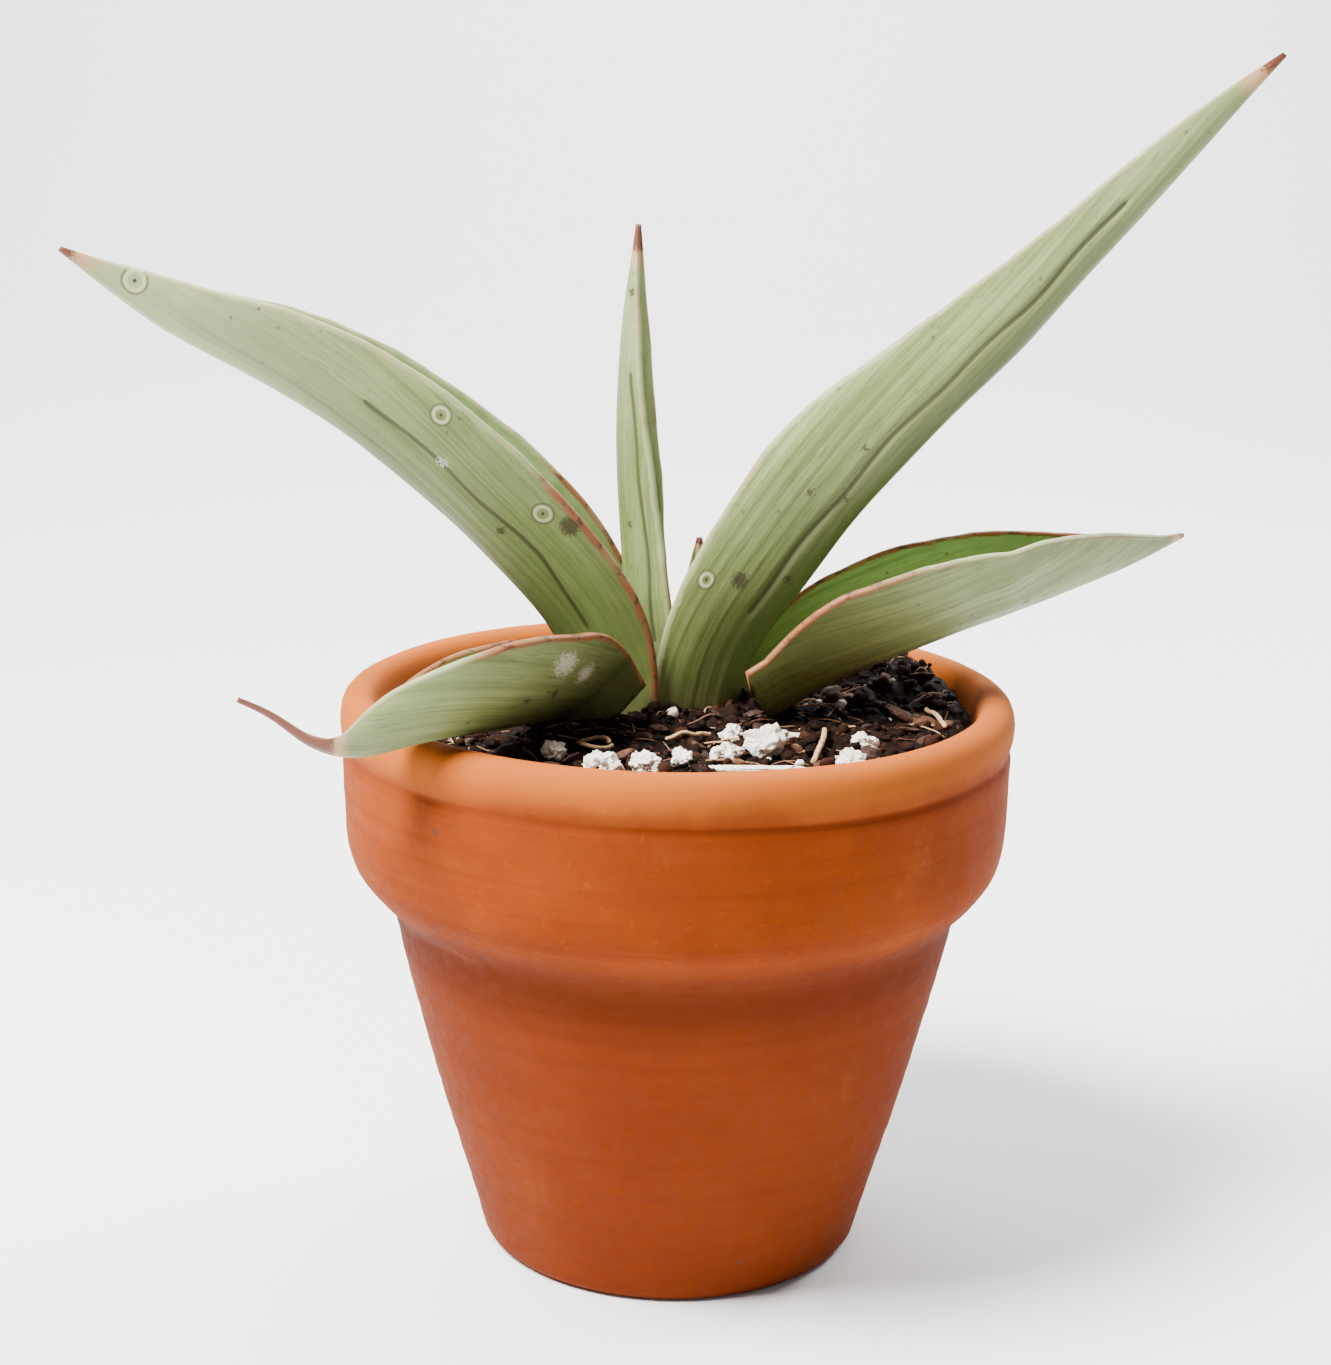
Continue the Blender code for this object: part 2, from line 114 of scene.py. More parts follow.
def build_floor(finish):
    """Pale paper that lies flat and sweeps up behind the plant, in metres."""
    outline = [(-FLOOR_HALF, 0.0), (SWEEP_START, 0.0)]
    for step in range(1, SWEEP_STEPS + 1):
        turn = 0.5 * math.pi * step / SWEEP_STEPS
        outline.append((SWEEP_START + SWEEP_RADIUS * math.sin(turn), SWEEP_RADIUS * (1.0 - math.cos(turn))))
    outline.append((SWEEP_START + SWEEP_RADIUS, SWEEP_TOP))
    verts = [(x, y, z) for y, z in outline for x in (-FLOOR_HALF, FLOOR_HALF)]
    faces = [(2 * k, 2 * k + 1, 2 * k + 3, 2 * k + 2) for k in range(len(outline) - 1)]
    mesh = bpy.data.meshes.new("floor")
    mesh.from_pydata(verts, [], faces)
    mesh.polygons.foreach_set("use_smooth", [True] * len(faces))
    mesh.materials.append(finish)
    made = bpy.data.objects.new("floor", mesh)
    bpy.context.scene.collection.objects.link(made)


# ---------------------------------------------------------------- node helper
class Shader:
    """Builds one procedural Principled material."""

    def __init__(self, name, roughness=0.7, specular=0.3):
        self.material = bpy.data.materials.new(name)
        self.material.use_nodes = True
        self.tree = self.material.node_tree
        self.surface = self.tree.nodes["Principled BSDF"]
        self.surface.inputs["Roughness"].default_value = roughness
        self.surface.inputs["Specular IOR Level"].default_value = specular

    def put(self, value, socket):
        """Links a node output, or sets a plain value."""
        if isinstance(value, bpy.types.NodeSocket):
            self.tree.links.new(value, socket)
        elif isinstance(value, (int, float)):
            socket.default_value = value
        else:
            socket.default_value = (*value, 1.0) if len(value) == 3 and socket.type == "RGBA" else value

    def math(self, operation, a, b=0.0, clamp=False):
        node = self.tree.nodes.new("ShaderNodeMath")
        node.operation = operation
        node.use_clamp = clamp
        self.put(a, node.inputs[0])
        self.put(b, node.inputs[1])
        return node.outputs[0]

    def times(self, a, b):
        return self.math("MULTIPLY", a, b)

    def plus(self, a, b):
        return self.math("ADD", a, b)

    def minus(self, a, b):
        return self.math("SUBTRACT", a, b)

    def size(self, a):
        return self.math("ABSOLUTE", a)

    def mix(self, share, a, b):
        node = self.tree.nodes.new("ShaderNodeMix")
        node.data_type = "RGBA"
        self.put(share, node.inputs[0])
        self.put(a, node.inputs[6])
        self.put(b, node.inputs[7])
        return node.outputs[2]

    def step(self, value, low, high, start=0.0, stop=1.0):
        """Smooth step of a value from low to high."""
        node = self.tree.nodes.new("ShaderNodeMapRange")
        node.interpolation_type = "SMOOTHSTEP"
        self.put(value, node.inputs["Value"])
        node.inputs["From Min"].default_value = low
        node.inputs["From Max"].default_value = high
        node.inputs["To Min"].default_value = start
        node.inputs["To Max"].default_value = stop
        return node.outputs[0]

    def attribute(self, name, part="Fac"):
        node = self.tree.nodes.new("ShaderNodeAttribute")
        node.attribute_name = name
        return node.outputs[part]

    def place(self):
        return self.tree.nodes.new("ShaderNodeTexCoord").outputs["Object"]

    def split(self, vector):
        node = self.tree.nodes.new("ShaderNodeSeparateXYZ")
        self.put(vector, node.inputs[0])
        return node.outputs

    def vector(self, x, y, z):
        node = self.tree.nodes.new("ShaderNodeCombineXYZ")
        for value, socket in zip((x, y, z), node.inputs):
            self.put(value, socket)
        return node.outputs[0]

    def scaled(self, vector, by):
        node = self.tree.nodes.new("ShaderNodeVectorMath")
        node.operation = "MULTIPLY"
        self.put(vector, node.inputs[0])
        node.inputs[1].default_value = by
        return node.outputs[0]

    def noise(self, vector, scale, detail=3.0, rough=0.55, distort=0.0):
        node = self.tree.nodes.new("ShaderNodeTexNoise")
        self.put(vector, node.inputs["Vector"])
        node.inputs["Scale"].default_value = scale
        node.inputs["Detail"].default_value = detail
        node.inputs["Roughness"].default_value = rough
        node.inputs["Distortion"].default_value = distort
        return node.outputs["Fac"]

    def cells(self, vector, scale, feature="F1", output="Distance"):
        node = self.tree.nodes.new("ShaderNodeTexVoronoi")
        node.feature = feature
        self.put(vector, node.inputs["Vector"])
        node.inputs["Scale"].default_value = scale
        return node.outputs[output]

    def bump(self, height, strength, distance_mm, under=None):
        node = self.tree.nodes.new("ShaderNodeBump")
        self.put(height, node.inputs["Height"])
        node.inputs["Strength"].default_value = strength
        node.inputs["Distance"].default_value = distance_mm * MM
        if under is not None:
            self.tree.links.new(under, node.inputs["Normal"])
        return node.outputs[0]

    def finish(self, colour, roughness=None, normal=None):
        self.put(colour, self.surface.inputs["Base Color"])
        if roughness is not None:
            self.put(roughness, self.surface.inputs["Roughness"])
        if normal is not None:
            self.tree.links.new(normal, self.surface.inputs["Normal"])
        return self.material


# ---------------------------------------------------------------- mesh helpers
def grid_faces(rows, columns, closed):
    """Quads between neighbouring rows of a grid, closed round each row if asked."""
    a = np.arange((rows - 1) * columns).reshape(rows - 1, columns)
    b = np.roll(a, -1, axis=1)
    quads = np.stack((a, b, b + columns, a + columns), axis=-1)
    if not closed:
        quads = quads[:, :-1]
    return quads.reshape(-1, 4)


def facing_out(verts, faces):
    """The faces, turned round if they enclose a negative volume."""
    corners = np.array([(f[0], f[k], f[k + 1]) for f in faces for k in range(1, len(f) - 1)])
    a, b, c = (np.asarray(verts, float)[corners[:, k]] for k in range(3))
    if (a * np.cross(b, c)).sum() < 0.0:
        return [list(map(int, f))[::-1] for f in faces]
    return [list(map(int, f)) for f in faces]


def piece(name, verts, faces, finish, stands_for=(), smooth=True, attributes=None):
    """A mesh piece in millimetres, made in metres, riding on the plant."""
    mesh = bpy.data.meshes.new(name)
    mesh.from_pydata((np.asarray(verts, float) * MM).tolist(), [], facing_out(verts, faces))
    mesh.validate()
    mesh.update()
    mesh.shade_smooth() if smooth else mesh.shade_flat()
    for key, values in (attributes or {}).items():
        values = np.asarray(values, np.float32)
        kind = "FLOAT_VECTOR" if values.ndim == 2 else "FLOAT"
        layer = mesh.attributes.new(key, kind, "POINT")
        layer.data.foreach_set("vector" if values.ndim == 2 else "value", values.ravel())
    mesh.materials.append(finish)
    made = bpy.data.objects.new(name, mesh)
    bpy.context.scene.collection.objects.link(made)
    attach(made, "root")
    if stands_for:
        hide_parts(*stands_for)
    return made


def curve_through(points, fractions):
    """Natural cubic spline through points, spaced by chord length."""
    points = np.array(points, float)
    steps = np.linalg.norm(np.diff(points, axis=0), axis=1)
    knots = np.concatenate(([0.0], np.cumsum(steps))) / steps.sum()
    gaps = np.diff(knots)
    size = len(knots)
    system = np.eye(size)
    pull = np.zeros_like(points)
    for i in range(1, size - 1):
        system[i, i - 1] = gaps[i - 1]
        system[i, i] = 2.0 * (gaps[i - 1] + gaps[i])
        system[i, i + 1] = gaps[i]
        rise = (points[i + 1] - points[i]) / gaps[i]
        run = (points[i] - points[i - 1]) / gaps[i - 1]
        pull[i] = 6.0 * (rise - run)
    bend = np.linalg.solve(system, pull)
    cell = np.clip(np.searchsorted(knots, fractions, side="right") - 1, 0, size - 2)
    width = gaps[cell][:, None]
    left = (knots[cell + 1] - fractions)[:, None] / width
    right = (fractions - knots[cell])[:, None] / width
    line = left * points[cell] + right * points[cell + 1]
    sag = (left**3 - left) * bend[cell] + (right**3 - right) * bend[cell + 1]
    return line + sag * width**2 / 6.0


def unit(vectors):
    """Vectors scaled to length one."""
    return vectors / np.maximum(np.linalg.norm(vectors, axis=-1, keepdims=True), 1e-9)


def eased(at, values, fractions, reach=0.035):
    """Values between stations, smoothed over a short reach."""
    out = np.interp(fractions, at, values)
    half = max(2, int(3.0 * reach * len(fractions)))
    weights = np.exp(-0.5 * (np.arange(-half, half + 1) / (reach * len(fractions))) ** 2)
    padded = np.pad(out, half, mode="reflect", reflect_type="odd")
    return np.convolve(padded, weights / weights.sum(), mode="valid")


def wander(values, scale, seed):
    """One-dimensional noise, from -1 to 1, along a list of values."""
    return np.array([noise.noise(Vector((v * scale, seed, 0.37 * seed))) for v in values])


# ---------------------------------------------------------------- leaves
# keel, opens, at, span, depth, thick and reach repeat the CAD's driving dimensions. The rest is looks: seam
# is the crease (life, across), marks are scars (kind, across, along, radius), brown is where each margin is
# browned, dry is where the dry tip starts, the underside entry sets painted shade on the outer side near the
# keel, partly the leaf's own darker underside, and pale sets painted light on the upper end.
LEAVES = {
    "leaf_left_tall": {
        "keel": ((-16.6, 1.5, 86.4), (-18.8, 1.0, 96.0), (-25.0, -1.0, 106.0), (-38.0, -6.0, 119.6),
                 (-56.5, -12.0, 135.2), (-74.5, -18.0, 146.0), (-89.0, -22.0, 157.8)),
        "opens": ((1.0, 0.02, 0.1), (0.76, 0.12, 0.7), (0.35, 0.3, 0.9)),
        "at": (0.0, 0.14, 0.32, 0.5, 0.68, 0.84, 0.95, 1.0),
        "span": (8.0, 9.4, 10.6, 9.6, 7.0, 4.6, 2.0, 0.6),
        "depth": (13.2, 15.0, 15.8, 14.6, 11.4, 7.0, 2.6, 0.6),
        "thick": (3.0, 3.4, 3.5, 3.4, 3.0, 2.6, 1.8, 0.6),
        "reach": ((1.0, 1.0), (0.95, 1.0)),
        "seam": ((0.12, -9.6), (0.24, -11.0), (0.33, -10.9), (0.41, -10.6), (0.47, -10.2), (0.56, -9.8)),
        "marks": (("ring", -16.2, 51.5, 1.1), ("ring", -16.7, 31.4, 1.2), ("ring", -4.5, 96.6, 1.4),
                  ("smudge", -18.4, 27.5, 1.9), ("smudge", -9.5, 33.0, 0.8), ("scuff", -10.8, 46.5, 0.7)),
        "brown": ((0.0, 0.36), (0.0, 0.3)),
        "dry": 0.968,
        "belly_tint_and_shade": 0.5,
        "pale": 0.25,
    },
    "leaf_middle": {
        "keel": ((-7.4, 3.2, 86.6), (-8.7, 3.9, 104.0), (-9.8, 5.0, 122.0), (-9.6, 5.4, 142.0),
                 (-7.5, 5.4, 161.2)),
        "opens": ((0.97, -0.2, 0.0), (0.96, -0.3, 0.0), (0.9, -0.45, 0.0)),
        "at": (0.0, 0.2, 0.5, 0.78, 0.93, 1.0),
        "span": (3.4, 4.8, 4.5, 2.7, 1.2, 0.5),
        "depth": (6.4, 8.4, 6.8, 3.6, 1.6, 0.6),
        "thick": (2.4, 2.6, 2.4, 1.9, 1.2, 0.5),
        "reach": ((1.0, 1.0), (0.6, 1.0)),
        "seam": ((0.14, -7.4), (0.44, -7.0), (0.70, -4.6)),
        "marks": (("smudge", -2.6, 64.8, 0.8), ("smudge", -4.2, 28.9, 0.6), ("smudge", -3.0, 13.0, 0.6)),
        "brown": ((0.0, 0.12), (0.0, 0.3)),
        "dry": 0.935,
        "belly_tint_and_shade": 0.3,
        "pale": 0.15,
    },
    "leaf_right_tall": {
        "keel": ((9.6, 1.5, 86.5), (11.2, 1.0, 93.0), (17.8, 0.0, 104.6), (30.0, -1.0, 121.0),
                 (51.0, -2.5, 144.2), (71.2, -3.8, 168.4), (87.0, -5.0, 187.4)),
        "opens": ((-1.0, 0.0, 0.05), (-0.8, 0.42, 0.5), (-0.7, 0.5, 0.6)),
        "at": (0.0, 0.12, 0.3, 0.5, 0.7, 0.86, 0.95, 1.0),
        "span": (5.6, 6.2, 7.2, 5.9, 4.4, 2.9, 1.6, 0.6),
        "depth": (13.0, 15.6, 16.8, 12.0, 7.6, 4.4, 2.2, 0.6),
        "thick": (3.0, 3.4, 3.6, 3.4, 2.9, 2.2, 1.5, 0.6),
        "reach": ((0.8, 1.0), (1.0, 1.0)),
        "seam": ((0.12, 6.4), (0.30, 5.7), (0.44, 5.6), (0.58, 4.8), (0.76, 4.1)),
        "marks": (("smudge", 10.5, 18.5, 1.5), ("ring", 15.0, 16.0, 0.9), ("smudge", 7.7, 45.1, 0.6),
                  ("smudge", 10.0, 35.2, 0.6), ("smudge", 4.3, 22.6, 0.7), ("smudge", 4.9, 37.6, 0.5)),
        "brown": ((0.0, 0.12), (0.0, 0.06)),
        "dry": 0.96,
        "belly_tint_and_shade": 0.8,
        "pale": 0.1,
    },
    "leaf_right_low": {
        "keel": ((16.5, 1.0, 86.6), (24.5, 3.0, 91.2), (36.0, 5.5, 96.0), (52.0, 10.5, 101.4),
                 (68.0, 16.0, 105.8), (82.0, 21.5, 111.2)),
        "opens": ((-0.75, -0.2, 0.65), (-0.18, -0.34, 0.93), (-0.2, -0.05, 0.97)),
        "at": (0.0, 0.16, 0.34, 0.56, 0.78, 0.92, 1.0),
        "span": (9.0, 11.0, 11.0, 8.4, 5.4, 2.4, 0.7),
        "depth": (9.5, 14.4, 15.0, 12.2, 7.0, 2.4, 0.7),
        "thick": (2.8, 3.2, 3.2, 3.0, 2.4, 1.5, 0.7),
        "reach": ((0.80, 0.84), (1.26, 1.32)),
        "seam": (),
        "marks": (("smudge", 9.0, 40.0, 0.7), ("smudge", 6.0, 12.0, 1.0), ("residue", -6.5, 19.0, 4.6)),
        "brown": ((0.0, 0.95), (0.0, 0.34)),
        "dry": 0.978,
        "belly_tint_and_shade": 0.8,
        "pale": 0.0,
    },
    "leaf_left_low": {
        "keel": ((-21.5, -9.5, 87.6), (-24.0, -21.5, 89.6), (-30.0, -33.8, 91.3), (-38.0, -40.6, 90.9),
                 (-46.5, -42.0, 89.4), (-52.5, -41.5, 91.2), (-57.0, -41.0, 94.4), (-62.0, -41.0, 97.0)),
        "opens": ((0.55, 0.35, 0.75), (0.2, 0.3, 0.93), (0.1, 0.2, 0.97)),
        "at": (0.0, 0.2, 0.4, 0.58, 0.7, 0.76, 0.82, 1.0),
        "span": (5.6, 6.4, 6.2, 4.6, 3.0, 1.8, 1.0, 0.6),
        "depth": (12.0, 13.6, 11.4, 7.0, 3.4, 1.8, 1.0, 0.6),
        "thick": (3.0, 3.4, 3.2, 2.8, 2.2, 1.8, 1.0, 0.6),
        "reach": ((1.3, 1.25), (0.7, 1.1)),
        "seam": (),
        "marks": (("smudge", -10.0, 17.0, 0.8), ("smudge", -3.8, 16.4, 0.6), ("scuff", -15.0, 18.0, 2.4),
                  ("scuff", -14.0, 12.5, 2.0), ("smudge", -8.5, 22.0, 0.6)),
        "brown": ((0.0, 0.5), (0.0, 0.62)),
        "dry": 0.74,
        "belly_tint_and_shade": 0.6,
        "foot": (2.4, 1.0, -4.6),
        "pale": 0.1,
    },
    "leaf_back_small": {
        "keel": ((6.6, 13.2, 86.6), (5.4, 14.0, 98.0), (3.6, 13.6, 111.5)),
        "opens": ((-1.0, -0.2, 0.1), (-0.9, -0.4, 0.1), (-0.9, -0.4, 0.1)),
        "at": (0.0, 0.45, 0.85, 1.0),
        "span": (2.2, 2.8, 1.5, 0.6),
        "depth": (3.6, 4.2, 2.0, 0.7),
        "thick": (1.6, 1.8, 1.2, 0.6),
        "reach": ((1.0, 1.0), (1.0, 1.0)),
        "seam": (),
        "marks": (("smudge", 1.5, 14.0, 0.6),),
        "brown": ((0.0, 0.4), (0.0, 0.4)),
        "dry": 0.95,
        "belly_tint_and_shade": 0.5,
        "pale": 0.0,
    },
}
CHANNEL_TURN = math.radians(76.0)
MARGIN_THICKNESS = 1.1
MARGIN_ROUND = 3
BURIED = 3.5
FOOT_ROWS = 5
MARGIN_RIPPLE = 0.22
LEAF_GRID = 0.62
SAGE = (0.150, 0.200, 0.062)
SAGE_PALE = (0.225, 0.290, 0.105)
SAGE_DULL = (0.12, 0.158, 0.042)
INNER_GREEN = (0.26, 0.38, 0.14)
VEIN_DARK = (0.075, 0.104, 0.026)
VEIN_PALE = (0.30, 0.37, 0.16)
DASH_DARK = (0.070, 0.098, 0.024)
HAIR_PALE = (0.34, 0.41, 0.19)
# Painted shade at the crown, partly the leaf base's own deeper green.
CROWN_GREEN_AND_SHADE = (0.098, 0.130, 0.024)
# Painted shade on the outer side near the keel, partly the leaf's own darker underside.
BELLY_OLIVE_AND_SHADE = (0.046, 0.048, 0.011)
# Painted light on the upper end of the leaves.
UPPER_PAINTED_LIGHT = (0.48, 0.55, 0.30)
SPECK_BROWN = (0.07, 0.055, 0.025)
# Painted shade in the long crease and on its flanks.
CREASE_SHADE = (0.030, 0.032, 0.012)
CREASE_FLANK_SHADE = (0.11, 0.125, 0.045)
RING_CREAM = (0.46, 0.46, 0.26)
RING_DARK = (0.035, 0.03, 0.012)
RING_HALO = (0.07, 0.07, 0.025)
SMUDGE_BROWN = (0.045, 0.032, 0.014)
SCUFF_WHITE = (0.66, 0.70, 0.56)
MARGIN_CREAM = (0.36, 0.36, 0.19)
MARGIN_BROWN = (0.24, 0.085, 0.03)
MARGIN_DARK = (0.06, 0.022, 0.012)
TIP_TAN = (0.40, 0.26, 0.13)
TIP_RED = (0.13, 0.036, 0.018)
CROWN_SOIL = (0.10, 0.08, 0.035)


def leaf_ring(bow, span, depth, thick, reach, ripple):
    """One ring of a leaf: offsets across and towards its opening, and the arc of its outer side."""
    spread = np.sin(bow) / math.sin(CHANNEL_TURN)
    rise = (1.0 - np.cos(bow)) / (1.0 - math.cos(CHANNEL_TURN))
    left = spread < 0.0
    share = np.where(left, reach[0], reach[1])
    wide, tall = spread * share, rise * share
    rim = min(MARGIN_THICKNESS, 0.45 * span)
    lip = min(thick, max(depth, 0.4))
    wave = np.abs(spread) ** 4 * min(1.0, span / 5.0)
    sway = np.where(left, ripple[0], ripple[1]) * MARGIN_RIPPLE * wave
    lift = np.where(left, ripple[2], ripple[3]) * MARGIN_RIPPLE * wave
    out_u, out_v = span * wide + sway, depth * tall + lift
    in_u = (span - rim) * wide + sway
    in_v = lip + (depth - lip) * tall + lift
    # A leaf no deeper than it is thick is round and full rather than a channel.
    fullness = min(1.0, max(0.0, (1.9 * thick - depth) / (0.9 * thick)))
    full_u = 0.72 * span * wide
    full_v = lip + 0.34 * span * (1.0 - wide * wide)
    in_u = in_u + (full_u - in_u) * fullness
    in_v = in_v + (full_v - in_v) * fullness
    arc = np.concatenate(([0.0], np.cumsum(np.hypot(np.diff(out_u), np.diff(out_v)))))
    arc = arc - arc[len(arc) // 2]
    bead = np.linspace(0.0, math.pi, MARGIN_ROUND + 2)[1:-1]
    cos, sin = np.cos(bead), np.sin(bead)
    margins = []
    for end, way in ((-1, 1.0), (0, -1.0)):
        centre_u, centre_v = (out_u[end] + in_u[end]) / 2.0, (out_v[end] + in_v[end]) / 2.0
        arm_u, arm_v = way * (out_u[end] - centre_u), way * (out_v[end] - centre_v)
        margins.append((centre_u + arm_u * cos - arm_v * sin, centre_v + arm_u * sin + arm_v * cos))
    u = np.concatenate((out_u, margins[0][0], in_u[::-1], margins[1][0]))
    v = np.concatenate((out_v, margins[0][1], in_v[::-1], margins[1][1]))
    return u, v, arc


def leaf_surface(leaf, seed):
    """Points of a leaf and, for each, its skin place (across, along, side), distance to the margin and life.

    Each ring runs outer side, margin, inner side, margin. Life is the share of the way from crown to tip.
    """
    length_hint = sum((Vector(b) - Vector(a)).length for a, b in zip(leaf["keel"], leaf["keel"][1:]))
    stations = int(length_hint / LEAF_GRID)
    half = max(12, int(1.25 * (max(leaf["span"]) + max(leaf["depth"])) / LEAF_GRID))
    fractions = np.linspace(0.0, 1.0, stations)
    keel = curve_through(leaf["keel"], fractions)
    along = unit(np.gradient(keel, axis=0))
    thirds = np.linspace(0.0, 1.0, len(leaf["opens"]))
    wanted = np.array(leaf["opens"], float)
    opens = np.stack([np.interp(fractions, thirds, wanted[:, k]) for k in range(3)], axis=-1)
    opens = unit(opens - (opens * along).sum(-1, keepdims=True) * along)
    across = np.cross(along, opens)
    span, depth, thick = (eased(leaf["at"], leaf[key], fractions) for key in ("span", "depth", "thick"))
    bow = np.linspace(-CHANNEL_TURN, CHANNEL_TURN, 2 * half + 1)
    distance = np.concatenate(([0.0], np.cumsum(np.linalg.norm(np.diff(keel, axis=0), axis=1))))
    ripple = np.array([wander(distance, 0.11, seed + k) + 0.5 * wander(distance, 0.31, seed + 9 + k)
                       for k in (1, 2, 3, 4)])
    turning = np.full(MARGIN_ROUND, 0.5)
    side = np.concatenate((np.zeros(len(bow)), turning, np.ones(len(bow)), turning))
    rings, skin, edge, life = [], [], [], []
    for i in range(stations):
        reach = [start + (stop - start) * fractions[i] for start, stop in leaf["reach"]]
        u, v, arc = leaf_ring(bow, span[i], depth[i], thick[i], reach, ripple[:, i])
        rings.append(keel[i] + u[:, None] * across[i] + v[:, None] * opens[i])
        right, left = np.full(MARGIN_ROUND, arc[-1]), np.full(MARGIN_ROUND, arc[0])
        place = np.concatenate((arc, right, arc[::-1], left))
        skin.append(np.stack((place, np.full(len(place), distance[i]), side), axis=-1))
        edge.append(np.minimum(place - arc[0], arc[-1] - place))
        life.append(np.full(len(place), fractions[i]))
    return np.array(rings), np.array(skin), np.array(edge), np.array(life), along[0]


def seam_gap(skin, life, leaf, seed):
    """Distance from the leaf's long crease, large where there is none."""
    if not leaf["seam"]:
        return np.full(life.shape, 9.0)
    at, reach = zip(*leaf["seam"])
    path = np.interp(life, at, reach) + 0.25 * np.sin(skin[..., 1] * 0.31 + seed)
    beyond = np.maximum(np.maximum(at[0] - life, life - at[-1]), 0.0)
    return np.abs(skin[..., 0] - path) + 60.0 * beyond


def margin_browning(skin, life, leaf, seed):
    """How brown the nearer margin is, from 0 to 1, with gaps along it."""
    left, right = leaf["brown"]
    low = np.where(skin[..., 0] < 0.0, left[0], right[0])
    high = np.where(skin[..., 0] < 0.0, left[1], right[1])
    gaps = wander(skin[:, 0, 1], 0.13, seed + 20.0)[:, None]
    share = np.clip((high - life) / 0.06, 0.0, 1.0) * np.clip((life - low) / 0.02 + 1.0, 0.0, 1.0)
    return np.clip(share + 0.7 * np.minimum(gaps, 0.3), 0.0, 1.0)


def relief(points, skin, edge, life, seam, seed):
    """Pushes the surface in and out: soft ribs, shallow dents and the long crease, fading at margin and tip."""
    down = np.gradient(points, axis=0)
    round_way = np.roll(points, -1, axis=1) - np.roll(points, 1, axis=1)
    outward = unit(np.cross(down, round_way))
    centre = points.mean(axis=1, keepdims=True)
    flip = np.sign(((points - centre) * outward)[:, : points.shape[1] // 4].sum())
    outward = outward * (flip if flip else 1.0)
    reach, length, inside = skin[..., 0], skin[..., 1], skin[..., 2]
    size = np.clip(edge / 2.5, 0.0, 1.0) * np.clip((1.0 - life) / 0.12, 0.15, 1.0)
    height = 0.03 * np.sin(reach * math.tau / 2.3 + 0.6 * np.sin(length * 0.09 + seed))
    height += 0.018 * np.sin(reach * math.tau / 1.1 + 1.7 * seed)
    flat = np.stack((reach.ravel() * 0.16, length.ravel() * 0.055, inside.ravel() * 3.0 + seed), axis=-1)
    broad = np.array([noise.noise(Vector(p)) for p in flat]).reshape(reach.shape)
    height += 0.42 * broad
    height -= 0.3 * np.exp(-((seam / 0.6) ** 2)) * (inside < 0.25)
    return points + outward * (height * size)[..., None]


def marked(s, colour, mark, place, ragged, outside):
    """The skin colour with one scar: a ring, a brown smudge, a pale scuff, or residue on the inner side."""
    kind, mark_reach, mark_length, radius = mark
    reach, length, inside = place
    gap_x, gap_y = s.minus(reach, mark_reach), s.minus(length, mark_length)
    gap = s.math("SQRT", s.plus(s.times(gap_x, gap_x), s.times(gap_y, gap_y)))
    if kind == "ring":
        band = s.step(s.size(s.minus(gap, radius)), 0.42, 0.15)
        colour = s.mix(s.times(band, outside), colour, RING_CREAM)
        dot = s.step(gap, 0.32 * radius, 0.12 * radius)
        colour = s.mix(s.times(dot, outside), colour, RING_DARK)
        halo = s.step(s.size(s.minus(gap, 1.35 * radius)), 0.3, 0.1, 0.0, 0.7)
        return s.mix(s.times(halo, outside), colour, RING_HALO)
    if kind == "smudge":
        patch = s.step(s.plus(gap, s.times(ragged, 3.2)), radius, 0.6 * radius, 0.0, 0.85)
        return s.mix(s.times(patch, outside), colour, SMUDGE_BROWN)
    patch = s.step(s.plus(gap, s.times(ragged, 6.0)), radius, 0.4 * radius, 0.0, 0.7)
    side = outside if kind == "scuff" else s.step(inside, 0.6, 0.9)
    return s.mix(s.times(patch, side), colour, SCUFF_WHITE)


